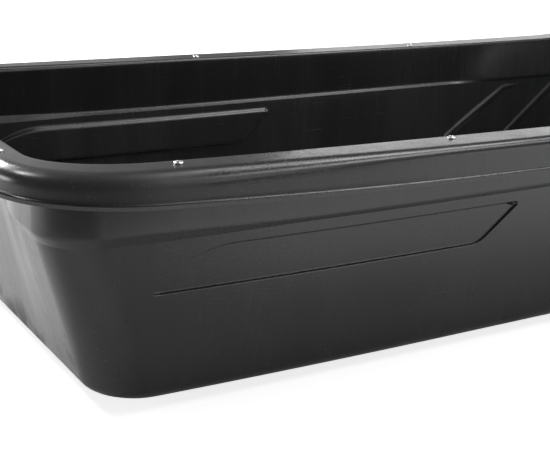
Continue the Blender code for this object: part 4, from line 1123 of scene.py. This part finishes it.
def rivet_places():
    """Centre and slope of each rivet's seat on the rim, in the order of their nodes."""
    path = tube_path()
    lift = Vector((0.0, 0.0, SHEET + TUBE_RIM_GAP + TUBE_RADIUS))
    places = []
    for side in (-1, 1):
        for x in RIVET_SIDE_X:
            start, end = next((a, b) for a, b in zip(path, path[1:]) if a.x <= x <= b.x and b.x > a.x)
            point = start.lerp(end, (x - start.x) / (end.x - start.x)) + lift
            straight = abs(end.y - start.y) < end.x - start.x
            slope = math.atan2(end.z - start.z, end.x - start.x) if straight else 0.0
            places.append((Vector((point.x, side * point.y, point.z)), slope))
        for x, y in ((-TUBE_REAR, RIVET_END_Y[0]), (TUBE_FRONT, RIVET_END_Y[1])):
            places.append((Vector((x, side * y, FLOOR_Z + rim_rise(x))), 0.0))
    return places


def rivet_outline():
    """Blind rivet from the dimple in its dome, over the flange and down its shank."""
    outline = [(radius * RIVET_RADIUS, height * RIVET_HEIGHT) for radius, height in RIVET_DIMPLE]
    first, height = outline[-1]
    for share in (step / RIVET_DOME_STEPS for step in range(1, RIVET_DOME_STEPS + 1)):
        drop = 1 - math.cos(share * RIVET_DOME)
        outline.append((first + (RIVET_RADIUS - first) * math.sin(share * math.pi / 2),
                        RIVET_EDGE + (height - RIVET_EDGE) * (1 - drop / (1 - math.cos(RIVET_DOME)))))
    neck = -SHEET - TUBE_RIM_GAP - TUBE_WALL - 2 * TOUCH
    low = neck - RIVET_BULB_LENGTH
    return outline + [(RIVET_RADIUS, RIVET_EDGE / 2), (RIVET_RADIUS - RIVET_EDGE / 2, TOUCH),
                      (RIVET_SHANK, TOUCH), (RIVET_SHANK, neck), (RIVET_BULB, neck - RIVET_EDGE),
                      (RIVET_BULB, low), (RIVET_SHANK, low - RIVET_EDGE), (0.0, low - RIVET_EDGE)]


def rivets():
    """Blind rivets that hold the rim to its frame."""
    outline = rivet_outline()
    for number, (point, slope) in enumerate(rivet_places(), 1):
        shape = lathe(lambda angle: outline, RIVET_STEPS)
        shape.transform(Matrix.Translation(point) @ Matrix.Rotation(-slope, 4, "Y"))
        skin("rivet_{:02d}".format(number), shape, "rivet", sharp=50.0)


def thread(start, end, radius):
    """Outline of a screw thread, as rings between two heights."""
    outline = []
    turns = round(abs(end - start) / THREAD_PITCH)
    for turn in range(turns):
        outline += [(radius, start + (end - start) * turn / turns),
                    (radius - THREAD_DEPTH, start + (end - start) * (turn + 0.5) / turns)]
    return outline + [(radius - THREAD_DEPTH, end)]


def bolt(name, seat, direction, grip):
    """Bolt with a low domed head, its shank along a direction and threaded at its end."""
    end = -(grip + 2 * TOUCH + NUT_HEIGHT + THREAD_END)
    outline = []
    for angle in (step / BOLT_HEAD_STEPS * BOLT_DOME for step in range(BOLT_HEAD_STEPS + 1)):
        share = (math.cos(angle) - math.cos(BOLT_DOME)) / (1 - math.cos(BOLT_DOME))
        outline.append((BOLT_HEAD_RADIUS * math.sin(angle) / math.sin(BOLT_DOME),
                        TOUCH + BOLT_HEAD_HEIGHT * (BOLT_RIM_SHARE + (1 - BOLT_RIM_SHARE) * share)))
    outline += [(BOLT_HEAD_RADIUS, TOUCH + BOLT_EDGE), (BOLT_HEAD_RADIUS - BOLT_EDGE, TOUCH),
                (BOLT_RADIUS, TOUCH), (BOLT_RADIUS, TOUCH - grip / 2)]
    outline += thread(TOUCH - grip / 2 - BOLT_EDGE, end + BOLT_EDGE, BOLT_RADIUS)
    outline += [(BOLT_RADIUS - 2 * BOLT_EDGE, end), (0.0, end)]
    shape = lathe(lambda angle: outline)
    shape.transform(along(seat, direction, "-Z"))
    skin(name, shape, "bolt", sharp=40.0)


def nut_shape(flats, height, bore):
    """Hexagon nut that stands on Z, its corners turned off and its bore countersunk."""
    levels = [height * share for share in NUT_LEVELS]
    levels += [height - level for level in reversed(levels)]

    def outline_at(angle):
        corner = flats / 2 / math.cos((angle + math.pi / 6) % (math.pi / 3) - math.pi / 6)
        outline = [(bore, NUT_SINK), (bore + NUT_SINK, 0.0)]
        for level in levels:
            reach = flats / 2 * NUT_TURNED[0] + min(level, height - level) * math.tan(NUT_TURNED[1])
            outline.append((min(corner, reach), level))
        return outline + [(bore + NUT_SINK, height), (bore, height - NUT_SINK)]

    return lathe(outline_at, NUT_STEPS, closed=True)


def nut(name, seat, direction):
    """Nut of the small bolts, on its seat."""
    shape = nut_shape(NUT_FLATS, NUT_HEIGHT, BOLT_RADIUS + HOLE_PLAY)
    shape.transform(along(Vector(seat) + Vector(direction) * TOUCH, direction))
    skin(name, shape, "bolt", sharp=30.0)


def runner_strips():
    """Strips under the floor with rounded edges, and the bolts and nuts that hold them."""
    for number, y in enumerate(STRIP_Y, 1):
        pockets = []
        for place, x in zip(("rear", "front"), STRIP_BOLT_X):
            pockets.append(rod((x, y, -STRIP_POCKET), (x, y, STRIP_POCKET), STRIP_POCKET_RADIUS))
            pockets.append(rod((x, y, -STRIP_POCKET), (x, y, 2 * STRIP_THICKNESS), BOLT_RADIUS + HOLE_PLAY))
            top = Vector((x, y, FLOOR_Z + SHEET))
            bolt("strip_bolt_{}_{}".format(number, place), top, (0, 0, -1), top.z - STRIP_POCKET)
            nut("strip_nut_{}_{}".format(number, place), (x, y, STRIP_POCKET), (0, 0, -1))
        skin("runner_strip_{}".format(number), carved([strip_shape(y)], pockets), "strip", sharp=30.0)


def strip_shape(y):
    """One strip: its rounded section carried along the floor, its ends cut back below."""
    half = STRIP_WIDTH / 2
    right = arc((0.0, 0.0), (half, 0.0), (half, STRIP_THICKNESS), STRIP_EDGE, STRIP_ROUND_STEPS[0])
    right += arc((half, 0.0), (half, STRIP_THICKNESS), (0.0, STRIP_THICKNESS), STRIP_TOP_EDGE,
                 STRIP_ROUND_STEPS[1])
    outline = right + [Vector((-p.x, p.y)) for p in reversed(right)]
    shape = bmesh.new()
    rings = []
    for step in range(STRIP_STEPS + 1):
        x = STRIP_ENDS[0] + (STRIP_ENDS[1] - STRIP_ENDS[0]) * step / STRIP_STEPS
        end = 0 if x < 0 else 1
        cut = max(1 - abs(x - STRIP_ENDS[end]) / STRIP_SLOPES[end], 0.0) * STRIP_NOSE
        rings.append([shape.verts.new((x, y + p.x, p.y + cut * (1 - p.y / STRIP_THICKNESS) + floor_rise(x)))
                      for p in outline])
    return skinned(shape, rings)


def bow_frame():
    """Foot of the hinge axis on the bow wall's outer face, and the way out from the wall."""
    lean = bow_lean()
    foot = Vector((FLOOR_FRONT + lean * BRACKET_HEIGHT, 0.0, FLOOR_Z + BRACKET_HEIGHT))
    return foot, Vector((1.0, 0.0, -lean)).normalized()


def hinge_point(y=0.0):
    """Point on the hinge axis of the tow bar."""
    foot, out = bow_frame()
    point = foot + out * HINGE_STANDOFF
    return Vector((point.x, y, point.z))


def brackets():
    """Tow brackets keep their CAD shape with softened edges, and get weld beads, bolts and nuts."""
    foot, out = bow_frame()
    up = Vector((-out.z, 0.0, out.x))
    hinge = hinge_point()
    face = foot + out * (TOUCH + BRACKET_PLATE)
    ends = [face + up * ((z - face.z) / up.z) for z in (hinge.z + SILL_DROP, hinge.z + CHEEK_TOP)]
    for name, side in SIDES:
        soften = bpy.data.objects["tow_bracket_" + name].modifiers.new("Edges", "BEVEL")
        soften.width = BRACKET_EDGE
        soften.segments = BRACKET_EDGE_STEPS
        soften.limit_method = "ANGLE"
        soften.angle_limit = math.radians(SHARP)
        for number, inner in ((1, -1), (2, 1)):
            y = side * BRACKET_Y + inner * (BRACKET_INSIDE / 2 + BRACKET_PLATE)
            line = [Vector((end.x, y, end.z)) for end in ends]
            weld("bracket_weld_{}_{}".format(name, number), line, "sled")
            place = foot + Vector((0.0, side * BRACKET_Y + inner * BRACKET_BOLT_Y, 0.0))
            bolt("bracket_bolt_{}_{}".format(name, number), place - out * SHEET, out,
                 SHEET + 2 * TOUCH + BRACKET_PLATE)
            nut("bracket_nut_{}_{}".format(name, number), place + out * (TOUCH + BRACKET_PLATE), out)


def pins():
    """Hinge pins with bevelled heads, and the spring clips through their ends."""
    reach = Vector((0.0, 0.0, NUT_FLATS))
    outer = BRACKET_INSIDE / 2 + BRACKET_PLATE
    for name, side in SIDES:
        way = Vector((0.0, side, 0.0))
        centre = hinge_point(side * BRACKET_Y)
        inboard = centre - way * (outer + TOUCH)
        head = rod(inboard - way * PIN_HEAD_HEIGHT, inboard, PIN_HEAD_RADIUS, PIN_HEAD_EDGE)
        tail = centre + way * (outer + PIN_TAIL)
        shank = rod(inboard - way * PIN_HEAD_HEIGHT / 2, tail, PIN_RADIUS, PIN_EDGE)
        place = centre + way * (outer + CLIP_FROM_CHEEK)
        hole = rod(place - reach, place + reach, CLIP_RADIUS + HOLE_PLAY, CLIP_HOLE_EDGE, CLIP_HOLE_STEPS)
        skin("hinge_pin_" + name, carved([head, shank], [hole]), "bolt")
        corners = [place + Vector((forward, 0.0, -down)) for forward, down in CLIP_LINE]
        line = line_through(corners, CLIP_BEND, CLIP_BEND_STEPS)
        skin("pin_clip_" + name, pipe(line, CLIP_RADIUS, CLIP_SIDES), "bolt", made_of="rivet")


# Tow bar and tow eye

def bar_line(side):
    """Corners of one bar's middle line: lug, bend, beside the eye's nut, and into the sleeve's side."""
    lug = hinge_point(side * BRACKET_Y)
    beside = NOSE_REAR - EYE_NUT_HEIGHT - SHANK_END
    return [lug + Vector((PIN_RADIUS + BAR_FROM_PIN, 0.0, 0.0)), lug + Vector((BAR_STRAIGHT, 0.0, 0.0)),
            Vector((beside, side * NUT_SIDE_Y, lug.z)),
            Vector((NOSE_X + BAR_INTO_NOSE, side * (NOSE_RADIUS - BAR_WELD), lug.z))]


def tow_bar():
    """Welded frame of two bars, a brace and a nose sleeve, with its weld beads."""
    hinge = hinge_point()
    half = Vector((0.0, BRACKET_INSIDE / 2 - TOUCH, 0.0))
    pieces = []
    cuts = []
    for side in (-1, 1):
        lug = hinge_point(side * BRACKET_Y)
        pieces.append(rod(lug - half, lug + half, BAR_RADIUS, LUG_EDGE))
        cuts.append(rod(lug - 2 * half, lug + 2 * half, PIN_RADIUS + RUN))
        pieces.append(pipe(line_through(bar_line(side), BAR_BEND), BAR_RADIUS, BAR_SIDES))
    _, bend, beside, _ = bar_line(1)
    brace = bend.lerp(beside, (BRACE_X - bend.x) / (beside.x - bend.x))
    pieces.append(rod((brace.x, -brace.y, brace.z), brace, BRACE_RADIUS))
    sleeve = [Vector((NOSE_X + way * NOSE_LENGTH / 2, 0.0, hinge.z)) for way in (-1, 1)]
    pieces.append(rod(*sleeve, NOSE_RADIUS, NOSE_EDGE, NOSE_STEPS))
    ahead = Vector((NOSE_LENGTH, 0.0, 0.0))
    cuts.append(rod(sleeve[0] - ahead, sleeve[1] + ahead, SHANK_RADIUS + RUN))
    skin("tow_bar", carved(pieces, cuts), "painted", sharp=38.0, body="tow_bar")
    lines = []
    for side in (-1, 1):
        middle = Vector((brace.x, side * brace.y, brace.z))
        loop = []
        for angle in angles(BRACE_WELD_STEPS) + [math.tau]:
            x, z = BRACE_RADIUS * math.cos(angle), BRACE_RADIUS * math.sin(angle)
            loop.append(middle + Vector((x, -side * math.sqrt(BAR_RADIUS ** 2 - z ** 2), z)))
        lines += [loop] + nose_welds(side)
    for number, line in enumerate(lines, 1):
        weld("bar_weld_{}".format(number), line, "tow_bar", BAR_WELD_RADIUS)


def nose_welds(side):
    """Lines above and below where a bar runs along the sleeve's side."""
    _, _, beside, end = bar_line(side)
    above, below = [], []
    for step in range(NOSE_WELD_STEPS + 1):
        x = NOSE_REAR + (end.x - NOSE_REAR) * step / NOSE_WELD_STEPS
        gap = abs(beside.y + (end.y - beside.y) * (x - beside.x) / (end.x - beside.x))
        y = (gap ** 2 + NOSE_RADIUS ** 2 - BAR_RADIUS ** 2) / (2 * gap)
        if y < NOSE_RADIUS:
            z = math.sqrt(NOSE_RADIUS ** 2 - y ** 2)
            above.append(Vector((x, side * y, end.z + z)))
            below.append(Vector((x, side * y, end.z - z)))
    return [above, below]


def tow_eye():
    """Forged ring with its collar and threaded shank, and the nut behind the sleeve."""
    z = hinge_point().z
    front = NOSE_X + NOSE_LENGTH / 2 + TOUCH
    collar_end = front + COLLAR_LENGTH
    rear = NOSE_REAR - EYE_NUT_HEIGHT - SHANK_END
    centre = Vector((collar_end + EYE_RADIUS + EYE_WIRE - FORGED, 0.0, z))
    circle = [centre + Vector((math.cos(angle), math.sin(angle), 0.0)) * EYE_RADIUS
              for angle in angles(EYE_STEPS)]
    outline = [(0.0, rear), (SHANK_RADIUS - THREAD_DEPTH - BOLT_EDGE, rear)]
    outline += thread(rear + BOLT_EDGE, NOSE_REAR - BOLT_EDGE, SHANK_RADIUS)
    outline += [(SHANK_RADIUS, NOSE_REAR), (SHANK_RADIUS, front), (COLLAR_RADIUS - BOLT_EDGE, front),
                (COLLAR_RADIUS, front + BOLT_EDGE), (COLLAR_RADIUS, collar_end - 2 * BOLT_EDGE),
                (COLLAR_RADIUS - 2 * BOLT_EDGE, collar_end), (EYE_WIRE, collar_end + BOLT_EDGE),
                (EYE_WIRE, collar_end + FORGED), (0.0, collar_end + FORGED)]
    shank = lathe(lambda angle: outline)
    shank.transform(along((0.0, 0.0, z), (1.0, 0.0, 0.0)))
    ring = pipe(circle, EYE_WIRE, EYE_SIDES, closed=True)
    skin("tow_eye", carved([ring, shank]), "eye", sharp=40.0, body="tow_eye")
    shape = nut_shape(EYE_NUT_FLATS, EYE_NUT_HEIGHT, SHANK_RADIUS + HOLE_PLAY)
    shape.transform(along((NOSE_REAR - TOUCH, 0.0, z), (-1.0, 0.0, 0.0)))
    skin("tow_eye_nut", shape, "eye", sharp=30.0, body="tow_eye", made_of="bolt")


# Materials

def fed(node, inputs):
    """Outputs of a node whose inputs are given, each as a constant or a socket."""
    for key, value in inputs.items():
        if isinstance(value, bpy.types.NodeSocket):
            node.id_data.links.new(value, node.inputs[key])
        else:
            node.inputs[key].default_value = value
    return node.outputs


def added(tree, kind, **inputs):
    """Outputs of a new node, its inputs given by their names."""
    return fed(tree.nodes.new("ShaderNode" + kind), inputs)


def finish(name, colour, roughness, metallic=0.0, specular=0.5):
    """Principled material, its tree and its shader."""
    material = bpy.data.materials.new(name)
    material.use_nodes = True
    material.diffuse_color = (*colour, 1.0)
    tree = material.node_tree
    shader = tree.nodes["Principled BSDF"]
    fed(shader, {"Base Color": (*colour, 1.0), "Roughness": roughness, "Metallic": metallic,
                 "Specular IOR Level": specular})
    return material, tree, shader


def places(tree, scale=(1.0, 1.0, 1.0), degrees=0.0):
    """Place on the object, stretched and turned about Y."""
    source = added(tree, "TexCoord")["Object"]
    turn = (0.0, math.radians(degrees), 0.0)
    return added(tree, "Mapping", Scale=scale, Rotation=turn, Vector=source)["Vector"]


def grain(tree, scale, detail=3.0, roughness=0.5, stretch=(1.0, 1.0, 1.0), degrees=0.0):
    """Noise value from 0 to 1."""
    return added(tree, "TexNoise", Scale=scale, Detail=detail, Roughness=roughness,
                 Vector=places(tree, stretch, degrees))["Fac"]


def cells(tree, scale):
    """Outputs of a pattern of cells."""
    return added(tree, "TexVoronoi", Scale=scale, Vector=places(tree))


def scaled(value, from_low, from_high, to_low=0.0, to_high=1.0):
    """A value taken from one range to another, and held inside it."""
    node = value.id_data.nodes.new("ShaderNodeMapRange")
    return fed(node, {"Value": value, "From Min": from_low, "From Max": from_high, "To Min": to_low,
                      "To Max": to_high})["Result"]


def maths(operation, first, second):
    """Result of a sum of a socket's value and another, which is a number or a socket."""
    node = first.id_data.nodes.new("ShaderNodeMath")
    node.operation = operation
    return fed(node, {0: first, 1: second})["Value"]


def times(first, second):
    """Product of two values."""
    return maths("MULTIPLY", first, second)


def plus(first, second):
    """Total of two values."""
    return maths("ADD", first, second)


def mixed(share, first, second):
    """Colour between two colours, each three numbers or a socket."""
    node = share.id_data.nodes.new("ShaderNodeMix")
    node.data_type = "RGBA"
    colours = [(*colour, 1.0) if isinstance(colour, tuple) else colour for colour in (first, second)]
    return fed(node, {"Factor": share, **dict(zip(MIX_INPUTS, colours))})[MIX_OUTPUT]


def bumped(shader, *layers):
    """Bumps over one another, each a height value with a distance and a strength."""
    inputs = {}
    for height, distance, strength in layers:
        inputs.update(Height=height, Distance=distance, Strength=strength)
        inputs["Normal"] = added(shader.id_data, "Bump", **inputs)["Normal"]
    fed(shader, {"Normal": inputs["Normal"]})


def closeness(tree, point, near_by, far):
    """1 near a point and 0 beyond a distance from it."""
    node = tree.nodes.new("ShaderNodeVectorMath")
    node.operation = "DISTANCE"
    return scaled(fed(node, {0: places(tree), 1: point})["Value"], near_by, far, 1.0, 0.0)


def plastic():
    """Black sheet plastic: satin, drawn in faint streaks up the walls, scuffed and dusty in places."""
    material, tree, shader = finish("Black sheet plastic", PLASTIC_COLOUR, PLASTIC_ROUGHNESS)
    streaks, clouds, patches = [grain(tree, *noise) for noise in (STREAKS, CLOUDS, PATCHES)]
    scuffs, scuffed, rubs, low = [scaled(grain(tree, *noise), *limits) for noise, limits in WEAR]
    rubs = times(rubs, closeness(tree, RUBBED_PLACE, *RUBBED_REACH))
    scuffs = maths("MAXIMUM", times(scuffs, scuffed), rubs)
    corner = closeness(tree, WORN_CORNER, *WORN_REACH)
    dusty = times(corner, scaled(patches, *DUSTY_CORNER))
    dusty = plus(scaled(patches, *DUSTY), dusty)
    specks = times(scaled(cells(tree, DUST_SCALE)["Distance"], *DUST_SIZE, 1.0, 0.0), dusty)
    height = added(tree, "SeparateXYZ", Vector=places(tree))["Z"]
    smudges = times(scaled(height, *SMUDGE_HEIGHT, 1.0, 0.0), low)
    smudges = maths("MAXIMUM", smudges, times(corner, SMUDGED_CORNER))
    colour = mixed(scaled(clouds, *MIDDLE), *CLOUD_COLOURS)
    colour = mixed(scaled(streaks, *STREAK_TINT), colour, STREAK_COLOUR)
    for value, (share, tint) in zip((smudges, scuffs, specks), WEAR_COLOURS):
        colour = mixed(times(value, share), colour, tint)
    rough = scaled(clouds, *MIDDLE, *CLOUD_ROUGHNESS)
    for value, share in ((scuffs, SCUFF_ROUGHNESS), (smudges, SMUDGE_ROUGHNESS)):
        rough = plus(rough, times(value, share))
    rough = plus(rough, scaled(streaks, *STREAK_ROUGHNESS))
    fed(shader, {"Base Color": colour, "Roughness": rough})
    bumped(shader, (grain(tree, *WAVES), *WAVE_BUMP), (streaks, *STREAK_BUMP),
           (grain(tree, *FINE), *FINE_BUMP))
    return material


def trimmed_edge():
    """Edge of the sheet where it was trimmed: paler and rougher."""
    material, tree, shader = finish("Trimmed plastic edge", *EDGE_BASE)
    marks = grain(tree, *EDGE_MARKS)
    fed(shader, {"Base Color": mixed(marks, *EDGE_TONES)})
    bumped(shader, (marks, *EDGE_BUMP))
    return material


def metal(name, dark, light, roughness, scale=METAL_SCALE, depth=METAL_DEPTH):
    """Metal whose tone and gloss vary a little, with fine marks."""
    material, tree, shader = finish(name, light, roughness, metallic=1.0)
    tone = scaled(grain(tree, scale, 4.0), *MIDDLE)
    fine = grain(tree, scale * METAL_FINENESS)
    rough = scaled(fine, *MIDDLE, *[roughness * share for share in METAL_ROUGHNESS])
    fed(shader, {"Base Color": mixed(tone, dark, light), "Roughness": rough})
    bumped(shader, (fine, depth, METAL_STRENGTH))
    return material


def galvanised():
    """Zinc with a faint spangle."""
    material, tree, shader = finish("Galvanised tube", *ZINC_BASE, metallic=1.0)
    tone = scaled(cells(tree, ZINC_SCALE)["Color"], 0.0, 1.0)
    rough = scaled(tone, 0.0, 1.0, *ZINC_ROUGHNESS)
    fed(shader, {"Base Color": mixed(tone, *ZINC_TONES), "Roughness": rough})
    bumped(shader, (grain(tree, ZINC_GRAIN), *ZINC_BUMP))
    return material


def painted():
    """Black powder coat with a fine orange peel and a few chips."""
    material, tree, shader = finish("Black painted steel", *PAINT_BASE)
    broad = grain(tree, *PAINT_CLOUDS)
    chips = scaled(grain(tree, *CHIPS), *CHIP_LIMITS)
    colour = mixed(chips, mixed(broad, *PAINT_TONES), CHIP_COLOUR)
    rough = plus(scaled(broad, *MIDDLE, *PAINT_ROUGHNESS), times(chips, CHIP_ROUGHNESS))
    fed(shader, {"Base Color": colour, "Roughness": rough})
    bumped(shader, (grain(tree, *ORANGE_PEEL), *PEEL_BUMP))
    return material


def runner_plastic():
    """Runner strips: matt plastic, scratched along the way they slide."""
    material, tree, shader = finish("Runner plastic", *RUNNER_BASE)
    scratches = grain(tree, *SCRATCHES)
    colour = mixed(scaled(scratches, *SCRATCH_LIMITS), *RUNNER_TONES)
    rough = scaled(grain(tree, *RUNNER_CLOUDS), *MIDDLE, *RUNNER_ROUGHNESS)
    fed(shader, {"Base Color": colour, "Roughness": rough})
    bumped(shader, (scratches, *RUNNER_BUMP))
    return material


# Camera, lights and stage

def camera():
    """The photograph's camera."""
    data = bpy.data.cameras.new("Camera")
    data.sensor_width = SENSOR_WIDTH
    data.lens = SENSOR_WIDTH * FOCAL_PIXELS / IMAGE_WIDTH
    data.clip_start, data.clip_end = CAMERA_REACH
    obj = linked("Camera", data)
    back = -CAMERA_FORWARD.normalized()
    right = (CAMERA_RIGHT - back * CAMERA_RIGHT.dot(back)).normalized()
    turn = Matrix((right, back.cross(right), back)).transposed().to_4x4()
    obj.matrix_world = Matrix.Translation(CAMERA_PLACE) @ turn
    bpy.context.scene.camera = obj


def lamps():
    """Soft rectangular lamps round the sled, which look at its middle and aren't seen themselves."""
    for name, azimuth, elevation, distance, size, power in LAMPS:
        data = bpy.data.lights.new(name, "AREA")
        data.shape = "RECTANGLE"
        data.size, data.size_y = size
        data.energy = power
        turn, lift = math.radians(azimuth), math.radians(elevation)
        way = Vector((math.cos(lift) * math.cos(turn), math.cos(lift) * math.sin(turn), math.sin(lift)))
        obj = linked(name, data)
        place = LAMP_AIM + way * distance
        obj.location = place
        obj.rotation_mode = "QUATERNION"
        obj.rotation_quaternion = (place - LAMP_AIM).to_track_quat("Z", "Y")
        obj.visible_camera = False


def surround():
    """White to the camera, and dimmer as a light and in reflections."""
    world = bpy.data.worlds.new("Studio")
    bpy.context.scene.world = world
    world.use_nodes = True
    tree = world.node_tree
    tree.nodes.clear()
    rays = added(tree, "LightPath")
    seen = times(rays["Is Camera Ray"], 1.0 - WORLD_LIGHT)
    mirrored = maths("MAXIMUM", rays["Is Glossy Ray"], rays["Is Transmission Ray"])
    mirrored = times(mirrored, WORLD_MIRRORED - WORLD_LIGHT)
    strength = plus(plus(seen, mirrored), WORLD_LIGHT)
    light = added(tree, "Background", Color=WHITE, Strength=strength)["Background"]
    added(tree, "OutputWorld", Surface=light)


def floor():
    """Pale floor, white to the camera where no shadow falls, that glows in reflections only: a painted pool
    of light behind the tub and painted shade along the near side.
    """
    shape = bmesh.new()
    bmesh.ops.create_grid(shape, x_segments=FLOOR_CELLS, y_segments=FLOOR_CELLS, size=FLOOR_SIZE,
                          matrix=Matrix.Translation((0.0, 0.0, -FLOOR_DROP)))
    obj = linked("Floor", as_mesh(shape))
    material, tree, shader = finish("Floor", (FLOOR_TONE,) * 3, FLOOR_ROUGHNESS, specular=FLOOR_SPECULAR)
    rays = added(tree, "LightPath")
    place = added(tree, "SeparateXYZ", Vector=added(tree, "NewGeometry")["Position"])
    # Painted light seen only in reflections: the floor glows brighter behind the tub and out in front of the
    # near side, and stays dim as painted shade along the near side
    behind = times(scaled(place["Y"], *GLOW_EDGE_Y),
                   scaled(place["Y"], *GLOW_SPAN_Y, *GLOW_BEHIND))
    beside = times(scaled(place["X"], *SHADE_END_X),
                   scaled(place["Y"], *SHADE_EDGE_Y, GLOW_LOW, GLOW_BESIDE))
    glow = maths("MAXIMUM", maths("MAXIMUM", behind, beside), GLOW_LOW)
    seen = times(rays["Is Camera Ray"], CAMERA_GLOW)
    strength = plus(seen, times(rays["Is Glossy Ray"], glow))
    fed(shader, {"Emission Strength": strength, "Emission Color": WHITE})
    obj.data.materials.append(material)


def finish_nodes():
    """Materials of the CAD nodes that stay."""
    for part in frame["record"]["subparts"]:
        material = METALS.get(part["material_slot"])
        node = bpy.data.objects.get(part["node"])
        if material and node:
            if not node.material_slots:
                node.data.materials.append(None)
            for place in node.material_slots:
                place.link = "OBJECT"
                place.material = material


METALS = {
    "strip": runner_plastic(),
    "tube": galvanised(),
    "rivet": metal("Bright rivet", *RIVET_LOOK),
    "bolt": metal("Zinc bolt", *BOLT_LOOK),
    "painted": painted(),
    "eye": metal("Forged steel", *FORGED_LOOK),
}
bpy.context.scene.view_settings.view_transform = "Standard"
camera()
tub()
frame_tubes()
rivets()
runner_strips()
brackets()
pins()
tow_bar()
tow_eye()
finish_nodes()
surround()
lamps()
floor()
